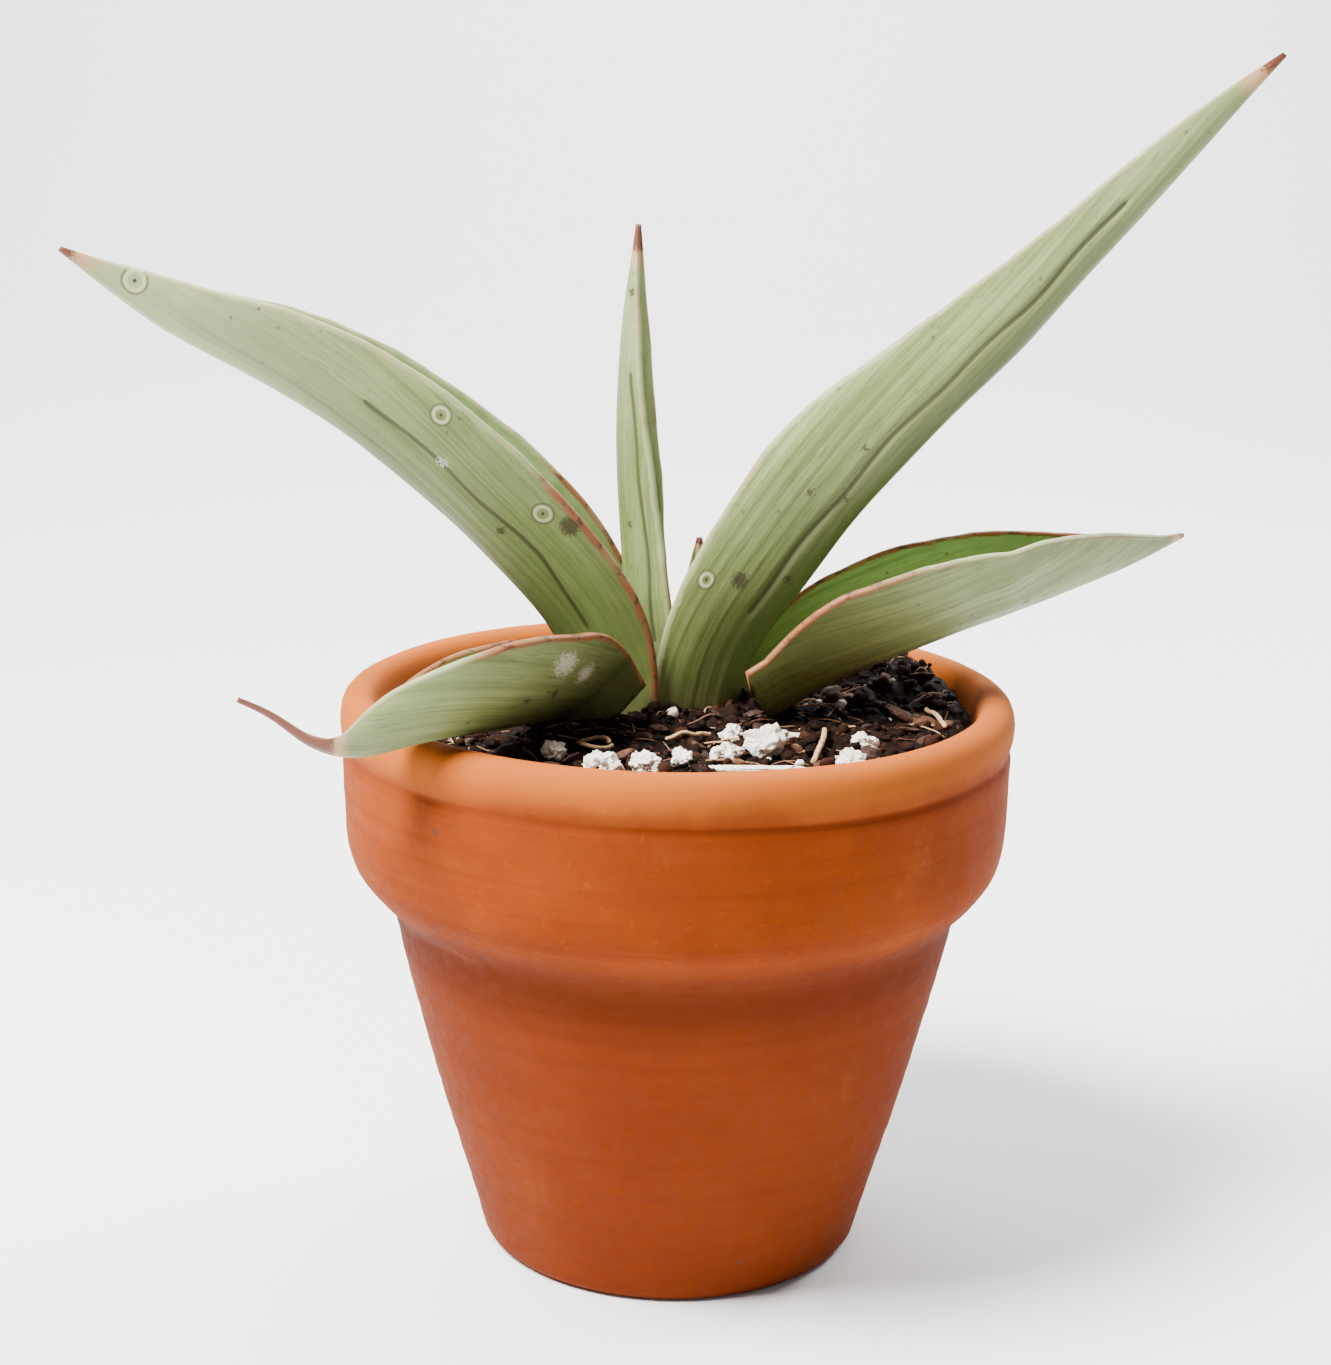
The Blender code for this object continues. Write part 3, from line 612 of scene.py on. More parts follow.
def leaf_finish(name, leaf, seed):
    """Waxy sage skin: fine broken streaks, long faint veins, papery margin, crease, scars and a dry tip, with
    painted shade in the crease, near the keel and at the crown, and painted light on the upper end.
    """
    s = Shader(name, 0.5, 0.3)
    skin = s.attribute("skin", "Vector")
    edge = s.attribute("edge")
    life = s.attribute("life")
    seam = s.attribute("seam")
    brown = s.attribute("brown")
    reach, length, inside = s.split(skin)

    def stretched(across, along, shift, detail=3.0, rough=0.6):
        place = s.vector(s.times(reach, across), s.times(length, along), seed + shift)
        return s.noise(place, 1.0, detail, rough)

    dashes = stretched(2.6, 0.24, 0.0, 4.0)
    veins = stretched(1.5, 0.012, 3.0, 2.0)
    broad = stretched(0.30, 0.03, 5.0)
    hair = stretched(6.5, 0.5, 8.0)
    cloud = s.noise(s.vector(reach, length, seed), 0.09, 5.0, 0.62)
    grain = s.noise(s.vector(reach, length, s.times(inside, 7.0)), 2.4, 4.0, 0.7)
    outside = s.step(inside, 0.4, 0.2)
    colour = s.mix(s.step(broad, 0.34, 0.7), SAGE, SAGE_PALE)
    colour = s.mix(s.step(cloud, 0.48, 0.74, 0.0, 0.4), colour, SAGE_DULL)
    colour = s.mix(s.step(inside, 0.6, 0.9, 0.0, 0.7), colour, INNER_GREEN)
    colour = s.mix(s.step(veins, 0.52, 0.66, 0.0, 0.42), colour, VEIN_DARK)
    colour = s.mix(s.step(veins, 0.46, 0.34, 0.0, 0.30), colour, VEIN_PALE)
    colour = s.mix(s.step(dashes, 0.53, 0.70, 0.0, 0.50), colour, DASH_DARK)
    colour = s.mix(s.step(hair, 0.56, 0.74, 0.0, 0.30), colour, HAIR_PALE)
    # Painted shade towards the crown, partly the leaf base's own deeper green.
    low = s.step(s.plus(life, s.times(cloud, 0.12)), 0.05, 0.42, 0.7, 0.0)
    colour = s.mix(low, colour, CROWN_GREEN_AND_SHADE)
    # Painted shade on the outer side near the keel, stronger towards the crown, partly the leaf's own darker
    # underside.
    belly_tint_and_shade = s.times(s.step(s.size(reach), 11.0, 0.5), outside)
    belly_tint_and_shade = s.times(belly_tint_and_shade, s.step(life, 1.0, 0.25, 0.35, leaf["belly_tint_and_shade"]))
    colour = s.mix(belly_tint_and_shade, colour, BELLY_OLIVE_AND_SHADE)
    # Painted light on the upper end of the leaf.
    colour = s.mix(s.step(life, 0.45, 0.9, 0.0, 1.6 * leaf["pale"]), colour, UPPER_PAINTED_LIGHT)
    speck = s.cells(s.vector(reach, length, s.times(inside, 5.0)), 0.42)
    rare = s.step(s.noise(s.vector(reach, length, seed + 11.0), 0.11, 2.0), 0.5, 0.62)
    dots = s.times(s.step(speck, 0.16, 0.09), rare)
    colour = s.mix(s.times(dots, 0.7), colour, SPECK_BROWN)
    # Painted shade in the long crease, and softer painted shade on the flanks beside it.
    crease = s.times(s.step(seam, 0.52, 0.2), outside)
    colour = s.mix(s.times(crease, 0.9), colour, CREASE_SHADE)
    flank_shade = s.times(s.step(seam, 2.6, 0.3, 0.0, 0.25), outside)
    colour = s.mix(flank_shade, colour, CREASE_FLANK_SHADE)
    ragged = s.times(s.minus(grain, 0.5), 1.1)
    for mark in leaf["marks"]:
        colour = marked(s, colour, mark, (reach, length, inside), ragged, outside)
    worn = s.noise(s.vector(0.0, length, inside), 0.35, 4.0, 0.7)
    rim = s.plus(edge, s.times(s.minus(worn, 0.5), 1.2))
    colour = s.mix(s.step(rim, 0.55, 0.2, 0.0, 0.55), colour, MARGIN_CREAM)
    colour = s.mix(s.times(s.step(rim, 0.75, 0.3), brown), colour, MARGIN_BROWN)
    dark_edge = s.times(s.step(worn, 0.52, 0.64), s.step(rim, 0.6, 0.2))
    colour = s.mix(s.times(dark_edge, brown), colour, MARGIN_DARK)
    dry = leaf["dry"]
    tip = s.plus(life, s.times(s.minus(grain, 0.5), 0.05))
    colour = s.mix(s.step(tip, dry - 0.03, dry - 0.005), colour, TIP_TAN)
    colour = s.mix(s.step(tip, dry + 0.005, dry + 0.02), colour, TIP_RED)
    soiled = s.step(s.split(s.place())[2], 0.0865, 0.0935, 0.6, 0.0)
    colour = s.mix(soiled, colour, CROWN_SOIL)
    gloss = s.step(dashes, 0.3, 0.7, 0.42, 0.58)
    normal = s.bump(hair, 0.3, 0.06)
    normal = s.bump(dashes, 0.4, 0.10, normal)
    normal = s.bump(veins, 0.4, 0.20, normal)
    normal = s.bump(grain, 0.25, 0.12, normal)
    return s.finish(colour, gloss, normal)


def build_leaf(name, leaf, seed):
    """One leaf, its first rows continuing down into the mix."""
    points, skin, edge, life, start_way = leaf_surface(leaf, seed)
    seam = seam_gap(skin, life, leaf, seed)
    brown = margin_browning(skin, life, leaf, seed)
    points = relief(points, skin, edge, life, seam, seed)
    drop = np.array(leaf["foot"]) if "foot" in leaf else -start_way * BURIED
    foot = points[:1] + drop * np.linspace(1.0, 1.0 / FOOT_ROWS, FOOT_ROWS)[:, None, None]
    points = np.concatenate((foot, points))
    rows, columns = points.shape[:2]
    verts = np.concatenate((points.reshape(-1, 3), points[:1].mean(axis=1), points[-1:].mean(axis=1)))
    faces = grid_faces(rows, columns, True).tolist()
    start, stop = rows * columns, (rows - 1) * columns
    for i in range(columns):
        j = (i + 1) % columns
        faces.append((j, i, start))
        faces.append((stop + i, stop + j, start + 1))
    layers = {}
    for key, layer in (("skin", skin), ("edge", edge), ("life", life), ("seam", seam), ("brown", brown)):
        layer = np.concatenate((np.repeat(layer[:1], FOOT_ROWS, axis=0), layer))
        flat = layer.reshape(-1, 3) if layer.ndim == 3 else layer.reshape(-1)
        layers[key] = np.concatenate((flat, flat[[0, stop]]))
    finish = leaf_finish(name + "_finish", leaf, seed)
    return piece(name + "_skin", verts, faces, finish, (name,), attributes=layers)


# ---------------------------------------------------------------- pot
POT_SPOKES = 300
LIP_TOP = 90.0
DRAIN_RADIUS = 6.5
FLOOR_TOP_Z = 6.5
FLOOR_RADIUS = 25.5
INNER_LIP_RADIUS = 46.9
BAND_Z = 80.0
GROOVE_Z = 0.0822
CLAY_DEEP = (0.165, 0.0235, 0.0)
CLAY_BRIGHT = (0.235, 0.040, 0.0006)
CLAY_PATCH = (0.145, 0.020, 0.0)
CLAY_LINE = (0.125, 0.016, 0.0)
CLAY_SAND = (0.30, 0.060, 0.003)
CLAY_GROG = (0.10, 0.013, 0.0)
# Painted light on the upward-facing lip, over clay that is a little paler there.
CLAY_LIP_PALE_AND_LIT = (0.46, 0.115, 0.010)
# Painted shade on the wall below the band.
CLAY_WALL_SHADE = (0.10, 0.0115, 0.0)
# Painted shade in the cove under the band.
CLAY_COVE_SHADE = (0.062, 0.0075, 0.0)
# Painted shade in the groove under the lip.
CLAY_GROOVE_SHADE = (0.11, 0.014, 0.0)
CLAY_BLOOM = (0.36, 0.10, 0.02)
CLAY_SPECK = (0.07, 0.035, 0.02)
OUTLINE_STEP = 0.9


def wall_inner_radius(z):
    """Radius of the pot's inner wall at a height."""
    share = (z - FLOOR_TOP_Z) / (LIP_TOP - 4.0 - FLOOR_TOP_Z)
    return FLOOR_RADIUS + 2.5 + (INNER_LIP_RADIUS - 0.4 - FLOOR_RADIUS - 2.5) * share


def pot_outline():
    """Profile of the pot: lip, band, wall, foot, drain hole, floor and inner wall."""
    lip = [(48.7, 90.05), (49.7, 90.1), (50.6, 89.95), (51.4, 89.55), (52.0, 88.9), (52.4, 87.9),
           (52.6, 86.8), (52.62, 85.7), (52.5, 84.6), (52.25, 83.6), (51.95, 82.9), (51.9, 82.4),
           (52.1, 81.9), (52.22, 81.2)]
    band = [(52.2, 78.0), (52.1, 74.0), (51.95, 70.0), (51.75, 67.4), (51.35, 65.4), (50.6, 63.5),
            (49.4, 61.6), (47.8, 59.7), (46.2, 58.0), (45.2, 56.9), (44.7, 55.9), (44.35, 54.6)]
    wall = [(43.6, 51.0), (42.2, 44.8), (40.5, 38.0), (38.7, 31.0), (36.8, 24.0), (34.8, 17.0),
            (32.8, 10.2), (31.3, 5.0), (30.8, 3.1), (30.35, 1.5), (29.6, 0.5), (28.3, 0.0)]
    drain = [(24.0, 0.0), (16.0, 0.0), (DRAIN_RADIUS + 1.2, 0.0), (DRAIN_RADIUS + 0.4, 0.3),
             (DRAIN_RADIUS, 1.0), (DRAIN_RADIUS, FLOOR_TOP_Z - 0.8), (DRAIN_RADIUS + 0.8, FLOOR_TOP_Z)]
    floor = [(FLOOR_RADIUS, FLOOR_TOP_Z), (FLOOR_RADIUS + 1.8, FLOOR_TOP_Z + 0.7), (FLOOR_RADIUS + 2.7, 8.9)]
    inner = [(wall_inner_radius(z), z) for z in (30.0, 58.0, 76.0, 82.0)]
    inner += [(46.5, 85.6), (46.7, 87.2), (47.1, 88.6), (47.8, 89.6)]
    return np.array(lip + band + wall + drain + floor + inner)


def smooth_outline(outline):
    """The closed outline cut into short steps, on a smooth curve except along long straights and the foot."""
    dense = []
    for i, (a, b) in enumerate(zip(outline, np.roll(outline, -1, axis=0))):
        before, after = outline[i - 1], outline[(i + 2) % len(outline)]
        length = np.linalg.norm(b - a)
        cuts = max(1, int(length / OUTLINE_STEP))
        long_straight = length > 7.5 and abs(a[1] - b[1]) > 12.0
        for k in range(cuts):
            t = k / cuts
            if long_straight or length <= 0.2 or a[1] <= 2.0:
                dense.append(a + (b - a) * t)
                continue
            curve = 2 * a + (b - before) * t + (2 * before - 5 * a + 4 * b - after) * t**2
            curve = curve + (3 * a - before - 3 * b + after) * t**3
            dense.append(curve / 2.0)
    return np.array(dense)


def round_noise(angle, reach, height):
    """Noise that closes on itself round the pot."""
    return noise.noise(Vector((reach * math.cos(angle), reach * math.sin(angle), height)))


def build_pot(finish):
    """Turned pot with faint throwing lines, a slightly uneven lip and worn spots."""
    dense = smooth_outline(pot_outline())
    turns = np.linspace(0.0, math.tau, POT_SPOKES, endpoint=False)
    verts = []
    for k, (r, z) in enumerate(dense):
        thrown = z > BAND_Z or (k < 0.52 * len(dense) and z > 1.0)
        for a in turns:
            swell, lift = 0.0, 0.0
            if thrown:
                swell = 0.10 * round_noise(a, 0.7, z * 0.62) + 0.16 * round_noise(a, 1.6, z * 0.05 + 4.0)
                swell += 0.05 * round_noise(a, 9.0, z * 0.2 + 9.0)
            if z > BAND_Z:
                lift = 0.12 * round_noise(a, 2.2, 7.0)
            verts.append(((r + swell) * math.cos(a), (r + swell) * math.sin(a), z + lift))
    faces = grid_faces(len(dense), POT_SPOKES, True).tolist()
    last = (len(dense) - 1) * POT_SPOKES
    for i in range(POT_SPOKES):
        j = (i + 1) % POT_SPOKES
        faces.append((last + i, last + j, j, i))
    return piece("pot_clay", np.array(verts), faces, finish, ("pot",))


def clay_finish():
    """Unglazed orange clay: paler lip partly from painted light, redder wall with painted shade below the band,
    in the cove and in the groove, fine grog, throwing lines, specks and a dusty bloom.
    """
    s = Shader("terracotta_finish", 0.85, 0.12)
    spot = s.place()
    z = s.split(spot)[2]
    cloud = s.noise(spot, 34.0, 5.0, 0.6)
    patch = s.noise(spot, 12.0, 3.0, 0.5)
    grog = s.noise(spot, 1500.0, 3.0, 0.65)
    sand = s.noise(spot, 460.0, 4.0, 0.7)
    dust = s.noise(spot, 60.0, 6.0, 0.7)
    lines = s.noise(s.scaled(spot, (9.0, 9.0, 620.0)), 1.0, 3.0, 0.6)
    colour = s.mix(s.step(cloud, 0.3, 0.72), CLAY_DEEP, CLAY_BRIGHT)
    colour = s.mix(s.step(patch, 0.42, 0.72, 0.0, 0.5), colour, CLAY_PATCH)
    colour = s.mix(s.step(lines, 0.46, 0.72, 0.0, 0.35), colour, CLAY_LINE)
    colour = s.mix(s.step(sand, 0.56, 0.76, 0.0, 0.38), colour, CLAY_SAND)
    colour = s.mix(s.step(grog, 0.60, 0.78, 0.0, 0.4), colour, CLAY_GROG)
    # Paler at the lip, partly the clay's own colour and partly painted light on the upward-facing top; painted
    # shade makes it darker and redder below the band, dark in the cove under the band and in the groove.
    height = s.plus(z, s.times(s.minus(cloud, 0.5), 0.006))
    # Painted light on the lip, partly the clay's own paler colour.
    colour = s.mix(s.step(height, 0.0815, 0.0875, 0.0, 0.6), colour, CLAY_LIP_PALE_AND_LIT)
    # Painted shade on the wall below the band.
    colour = s.mix(s.step(z, 0.064, 0.054, 0.0, 0.5), colour, CLAY_WALL_SHADE)
    # Painted shade in the cove under the band.
    cove_shade = s.times(s.step(z, 0.0625, 0.0575), s.step(z, 0.044, 0.054))
    colour = s.mix(s.times(cove_shade, 0.55), colour, CLAY_COVE_SHADE)
    # Painted shade in the groove under the lip.
    groove_shade = s.step(s.size(s.minus(z, GROOVE_Z)), 0.0009, 0.0002, 0.0, 0.5)
    colour = s.mix(groove_shade, colour, CLAY_GROOVE_SHADE)
    bloom = s.times(s.step(dust, 0.60, 0.78, 0.0, 0.25), s.step(z, 0.0, 0.07, 0.45, 1.0))
    colour = s.mix(bloom, colour, CLAY_BLOOM)
    speck = s.times(s.step(s.cells(spot, 120.0), 0.085, 0.05), s.step(s.noise(spot, 45.0, 1.0), 0.54, 0.6))
    colour = s.mix(s.times(speck, 0.8), colour, CLAY_SPECK)
    rough = s.step(sand, 0.3, 0.7, 0.78, 0.93)
    normal = s.bump(lines, 0.4, 0.10)
    normal = s.bump(sand, 0.5, 0.16, normal)
    normal = s.bump(grog, 0.35, 0.10, normal)
    return s.finish(colour, rough, normal)


# ---------------------------------------------------------------- potting mix
SOIL_LEVEL = 86.4
SOIL_SPOKES = 420
SOIL_RINGS = 150
PEAT_DARK = (0.0035, 0.0015, 0.001)
PEAT_LIGHT = (0.012, 0.0048, 0.0028)
PEAT_RUST = (0.04, 0.013, 0.006)
CRUMB_DARK = (0.005, 0.0022, 0.0015)
CRUMB_LIGHT = (0.017, 0.007, 0.004)
CRUMB_RUST = (0.05, 0.017, 0.008)
BARK_PALE = (0.10, 0.035, 0.015)
BARK_BROWN = (0.022, 0.008, 0.004)
STRAW_PALE = (0.55, 0.34, 0.18)
STRAW_BROWN = (0.13, 0.05, 0.024)
STEM_PALE = (0.42, 0.28, 0.15)
STEM_BROWN = (0.20, 0.11, 0.05)


def soil_level(x, y):
    """Broad level of the mix: low behind on the left, a heap behind on the right, banked at the crown."""
    level = SOIL_LEVEL + 0.5 * math.sin(0.16 * x + 1.0) * math.cos(0.13 * y)
    level -= 5.5 * math.exp(-((x + 33.0) ** 2 + (y - 22.0) ** 2) / 260.0)
    level += 4.6 * math.exp(-((x - 36.0) ** 2 + (y - 18.0) ** 2) / 130.0)
    level += 1.0 * math.exp(-(((x + 1.0) / 19.0) ** 2 + ((y - 2.0) / 12.0) ** 2))
    return level


def soil_top(x, y):
    """Surface of the mix with its lumps."""
    at = Vector((x, y, 1.5))
    lumps = 0.9 * noise.noise(at * 0.22) + 0.75 * noise.noise(at * 0.55) + 0.45 * noise.noise(at * 1.3)
    return soil_level(x, y) + lumps + 0.22 * noise.noise(at * 3.1)


def build_soil(finish):
    """Crumbly top surface running down inside the pot and closed below."""
    turns = np.linspace(0.0, math.tau, SOIL_SPOKES, endpoint=False)
    rows = [[(7.6 * math.cos(a), 7.6 * math.sin(a), FLOOR_TOP_Z + 0.2) for a in turns]]
    for z, inset in ((FLOOR_TOP_Z + 0.2, 2.0), (14.0, 1.0), (34.0, 0.5), (58.0, 0.5), (76.0, 0.5)):
        r = (FLOOR_RADIUS if z < 10.0 else wall_inner_radius(z)) - inset
        rows.append([(r * math.cos(a), r * math.sin(a), z) for a in turns])
    for k in range(SOIL_RINGS):
        share = 1.0 - k / SOIL_RINGS
        ring = []
        for a in turns:
            level = soil_top(45.6 * share * math.cos(a), 45.6 * share * math.sin(a))
            r = (wall_inner_radius(min(level, 84.0)) - 0.25) * share
            droop = 1.0 * max(0.0, (share - 0.965) / 0.035)
            ring.append((r * math.cos(a), r * math.sin(a), level - droop))
        rows.append(ring)
    verts = np.array(rows).reshape(-1, 3)
    faces = grid_faces(len(rows), SOIL_SPOKES, True).tolist()
    centre = len(verts)
    verts = np.concatenate((verts, [(0.0, 0.0, soil_top(0.0, 0.0)), (0.0, 0.0, FLOOR_TOP_Z + 0.2)]))
    last = (len(rows) - 1) * SOIL_SPOKES
    for i in range(SOIL_SPOKES):
        j = (i + 1) % SOIL_SPOKES
        faces.append((last + i, last + j, centre))
        faces.append((j, i, centre + 1))
    return piece("soil_surface", verts, faces, finish, ("soil",))


def earth_finish(name, dark, light, rust, wet=0.55):
    """Dark moist peat with brown fibres and a slight damp shine."""
    s = Shader(name, 0.85, 0.06)
    spot = s.place()
    tone = s.attribute("tone")
    cloud = s.noise(spot, 260.0, 6.0, 0.7)
    grit = s.noise(spot, 1400.0, 4.0, 0.7)
    colour = s.mix(s.step(cloud, 0.38, 0.68), dark, light)
    colour = s.mix(s.step(grit, 0.56, 0.74, 0.0, 0.55), colour, rust)
    colour = s.mix(s.step(tone, 0.55, 1.0, 0.0, 0.6), colour, rust)
    rough = s.step(cloud, 0.35, 0.7, wet, 0.95)
    normal = s.bump(cloud, 0.7, 0.5)
    normal = s.bump(grit, 0.6, 0.2, normal)
    return s.finish(colour, rough, normal)


def lump_shape(level):
    """Vertices and faces of a sphere of triangles."""
    golden = (1.0 + math.sqrt(5.0)) / 2.0
    verts = [Vector(p).normalized() for p in (
        (-1, golden, 0), (1, golden, 0), (-1, -golden, 0), (1, -golden, 0), (0, -1, golden), (0, 1, golden),
        (0, -1, -golden), (0, 1, -golden), (golden, 0, -1), (golden, 0, 1), (-golden, 0, -1),
        (-golden, 0, 1))]
    faces = [(0, 11, 5), (0, 5, 1), (0, 1, 7), (0, 7, 10), (0, 10, 11), (1, 5, 9), (5, 11, 4),
             (11, 10, 2), (10, 7, 6), (7, 1, 8), (3, 9, 4), (3, 4, 2), (3, 2, 6), (3, 6, 8), (3, 8, 9),
             (4, 9, 5), (2, 4, 11), (6, 2, 10), (8, 6, 7), (9, 8, 1)]
    for _ in range(level):
        middle = {}
        finer = []
        for a, b, c in faces:
            mids = []
            for p, q in ((a, b), (b, c), (c, a)):
                key = (min(p, q), max(p, q))
                if key not in middle:
                    middle[key] = len(verts)
                    verts.append((verts[p] + verts[q]).normalized())
                mids.append(middle[key])
            ab, bc, ca = mids
            finer += [(a, ab, ca), (b, bc, ab), (c, ca, bc), (ab, bc, ca)]
        faces = finer
    return np.array(verts), np.array(faces)


def random_turn(dice, tilt=math.pi):
    """A rotation matrix with a free spin and a limited tilt."""
    spin = Matrix.Rotation(dice.uniform(0.0, math.tau), 3, "Z")
    lean = Matrix.Rotation(dice.uniform(-tilt, tilt), 3, "X")
    return np.array(spin @ lean @ Matrix.Rotation(dice.uniform(0.0, math.tau), 3, "Z"))


def scatter_place(dice, rim):
    """A random spot on the mix, no nearer the wall than rim."""
    radius = (45.6 - rim) * math.sqrt(dice.random())
    angle = dice.uniform(0.0, math.tau)
    return radius * math.cos(angle), radius * math.sin(angle)


def build_lumps(name, count, sizes, flats, seed, finish, sink=0.35, rough=0.35, level=1, smooth=True):
    """Many rough crumbs lying on the mix, joined into one piece."""
    dice = random.Random(seed)
    shape, faces = lump_shape(level)
    all_verts, all_faces, tones = [], [], []
    for k in range(count):
        size = sizes[0] + (sizes[1] - sizes[0]) * dice.random() ** 2.2
        x, y = scatter_place(dice, size + 0.8)
        body = shape * (size, size * dice.uniform(0.55, 1.0), size * dice.uniform(*flats))
        shift = 20.0 * dice.random()
        push = np.array([noise.noise(Vector(p) * (1.6 / size) + Vector((shift, k, 0.0))) for p in body])
        sharp = np.array([noise.noise(Vector(p) * (4.1 / size) + Vector((k, shift, 0.0))) for p in body])
        body = body * (1.0 + rough * push + 0.5 * rough * sharp)[:, None]
        body = body @ random_turn(dice, 0.6).T
        z = soil_top(x, y) - body[:, 2].min() * (1.0 - 2.0 * sink) + dice.uniform(-0.2, 0.3)
        all_faces.append(faces + len(all_verts) * len(shape))
        all_verts.append(body + (x, y, z))
        tones.append(np.full(len(shape), dice.random()))
    verts, faces, tone = (np.concatenate(parts) for parts in (all_verts, all_faces, tones))
    return piece(name, verts, faces.tolist(), finish, smooth=smooth, attributes={"tone": tone})


def tube(points, radii, sides=6):
    """Rings and faces of a tapered tube through points, with pointed ends."""
    points = np.asarray(points, float)
    way = unit(np.gradient(points, axis=0))
    guide = np.array((0.31, 0.17, 0.93))
    left = unit(np.cross(way, guide))
    up = np.cross(left, way)
    turns = np.linspace(0.0, math.tau, sides, endpoint=False)
    ring = left[:, None] * np.cos(turns)[None, :, None] + up[:, None] * np.sin(turns)[None, :, None]
    verts = points[:, None] + ring * np.asarray(radii)[:, None, None]
    faces = grid_faces(len(points), sides, True).tolist()
    flat = verts.reshape(-1, 3)
    ends = np.array((points[0] - way[0] * radii[0], points[-1] + way[-1] * radii[-1]))
    first, last = len(flat), len(flat) + 1
    for i in range(sides):
        j = (i + 1) % sides
        faces.append((j, i, first))
        faces.append(((len(points) - 1) * sides + i, (len(points) - 1) * sides + j, last))
    return np.concatenate((flat, ends)), faces


def build_fibres(name, count, lengths, thick, seed, finish, lift=0.8, curl=0.5):
    """Fine roots, needles and straws lying over the mix, joined into one piece."""
    dice = random.Random(seed)
    verts, faces, tones, total = [], [], [], 0
    for k in range(count):
        length = dice.uniform(*lengths)
        x, y = scatter_place(dice, 1.6)
        heading = dice.uniform(0.0, math.tau)
        steps = max(5, int(length / 1.1))
        bend = dice.uniform(-curl, curl)
        radius = dice.uniform(*thick)
        rise = dice.uniform(-0.2, lift)
        line = []
        for i in range(steps + 1):
            if math.hypot(x, y) > 44.4:
                break
            share = i / steps
            line.append((x, y, soil_top(x, y) + radius + rise * math.sin(math.pi * share) + 0.1))
            heading += bend / steps + dice.uniform(-0.12, 0.12)
            x += length / steps * math.cos(heading)
            y += length / steps * math.sin(heading)
        if len(line) < 4:
            continue
        line = np.array(line)
        line[1:-1, 2] = (line[:-2, 2] + line[1:-1, 2] + line[2:, 2]) / 3.0
        taper = np.interp(np.linspace(0.0, 1.0, len(line)), (0.0, 0.15, 0.8, 1.0), (0.55, 1.0, 0.9, 0.35))
        more, quads = tube(line, radius * taper, 5)
        faces += [tuple(i + total for i in f) for f in quads]
        total += len(more)
        verts.append(more)
        tones.append(np.full(len(more), dice.random()))
    return piece(name, np.concatenate(verts), faces, finish, attributes={"tone": np.concatenate(tones)})


def dry_finish(name, pale, brown, rough=0.8):
    """Dry straw or bark: long streaks, each bit its own tone."""
    s = Shader(name, rough)
    tone = s.attribute("tone")
    spot = s.place()
    streak = s.noise(spot, 900.0, 3.0, 0.6)
    colour = s.mix(s.step(tone, 0.1, 0.95), brown, pale)
    colour = s.mix(s.step(streak, 0.45, 0.7, 0.0, 0.5), colour, [0.5 * c for c in brown])
    return s.finish(colour, s.step(streak, 0.3, 0.7, rough - 0.12, rough + 0.1), s.bump(streak, 0.5, 0.15))


def perlite_finish():
    """Chalky puffed mineral: off-white with pores, stained brown where it touches the mix."""
    s = Shader("perlite_finish", 0.9)
    spot = s.place()
    cloud = s.noise(spot, 420.0, 5.0, 0.65)
    pores = s.cells(spot, 1500.0)
    tone = s.attribute("tone")
    colour = s.mix(s.step(cloud, 0.35, 0.7), (0.62, 0.55, 0.44), (0.92, 0.89, 0.82))
    colour = s.mix(s.step(pores, 0.32, 0.12, 0.0, 0.6), colour, (0.36, 0.27, 0.18))
    colour = s.mix(s.step(tone, 0.4, 0.0, 0.0, 0.65), colour, (0.22, 0.14, 0.085))
    normal = s.bump(cloud, 0.6, 0.35)
    normal = s.bump(pores, 0.6, 0.2, normal)
    return s.finish(colour, s.step(cloud, 0.3, 0.7, 0.82, 0.95), normal)


def build_grain(node, seed, finish):
    """A pitted grain of perlite filling its CAD solid's box."""
    low, high = (np.array(corner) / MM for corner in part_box(node))
    centre, half = (low + high) / 2.0, (high - low) / 2.0
    shape, faces = lump_shape(4)
    verts = []
    for p in shape:
        way = Vector(p)
        push = 0.48 * noise.noise(way * 1.3 + Vector((seed, 0.0, 0.0)))
        push += 0.30 * noise.noise(way * 3.1 + Vector((0.0, seed, 0.0)))
        cell = noise.cell(way * 3.0 + Vector((seed, seed, 0.0)))
        push += 0.08 * cell + 0.12 * noise.noise(way * 7.0 + Vector((seed, 1.0, 0.0)))
        verts.append(p * (1.06 + push))
    verts = np.array(verts)
    tone = np.clip((verts[:, 2] + 1.0) / 1.2, 0.0, 1.0)
    sink = np.array((0.0, 0.0, 0.55 * half[2]))
    verts = verts * half + centre - sink
    tone = {"tone": tone}
    return piece(node + "_rough", verts, faces.tolist(), finish, (node,), attributes=tone)


def build_flake(node, place, seed, finish, slot):
    """A worn flat flake with a broken outline, lying on the mix."""
    x, y, long, wide, high, degrees = place
    shape, faces = lump_shape(3)
    turn = math.radians(degrees)
    verts = []
    for p in shape:
        way = Vector(p)
        blocky = np.sign(p) * np.abs(p) ** 0.55
        push = 1.0 + 0.22 * noise.noise(way * 2.2 + Vector((seed, 0.0, 0.0)))
        push += 0.10 * noise.noise(way * 6.0 + Vector((0.0, seed, 0.0)))
        q = blocky * push * (0.5 * long, 0.5 * wide, 0.5 * high)
        px = x + q[0] * math.cos(turn) - q[1] * math.sin(turn)
        py = y + q[0] * math.sin(turn) + q[1] * math.cos(turn)
        verts.append((px, py, q[2]))
    verts = np.array(verts)
    level = np.mean([soil_top(x + 0.3 * long * k * math.cos(turn), y + 0.3 * long * k * math.sin(turn))
                     for k in (-1.0, 0.0, 1.0)])
    verts[:, 2] += level + 0.35 * high + 0.25
    tone = np.full(len(verts), 0.75)
    return piece(node + "_rough", verts, faces.tolist(), finish, (node,), attributes={"tone": tone})


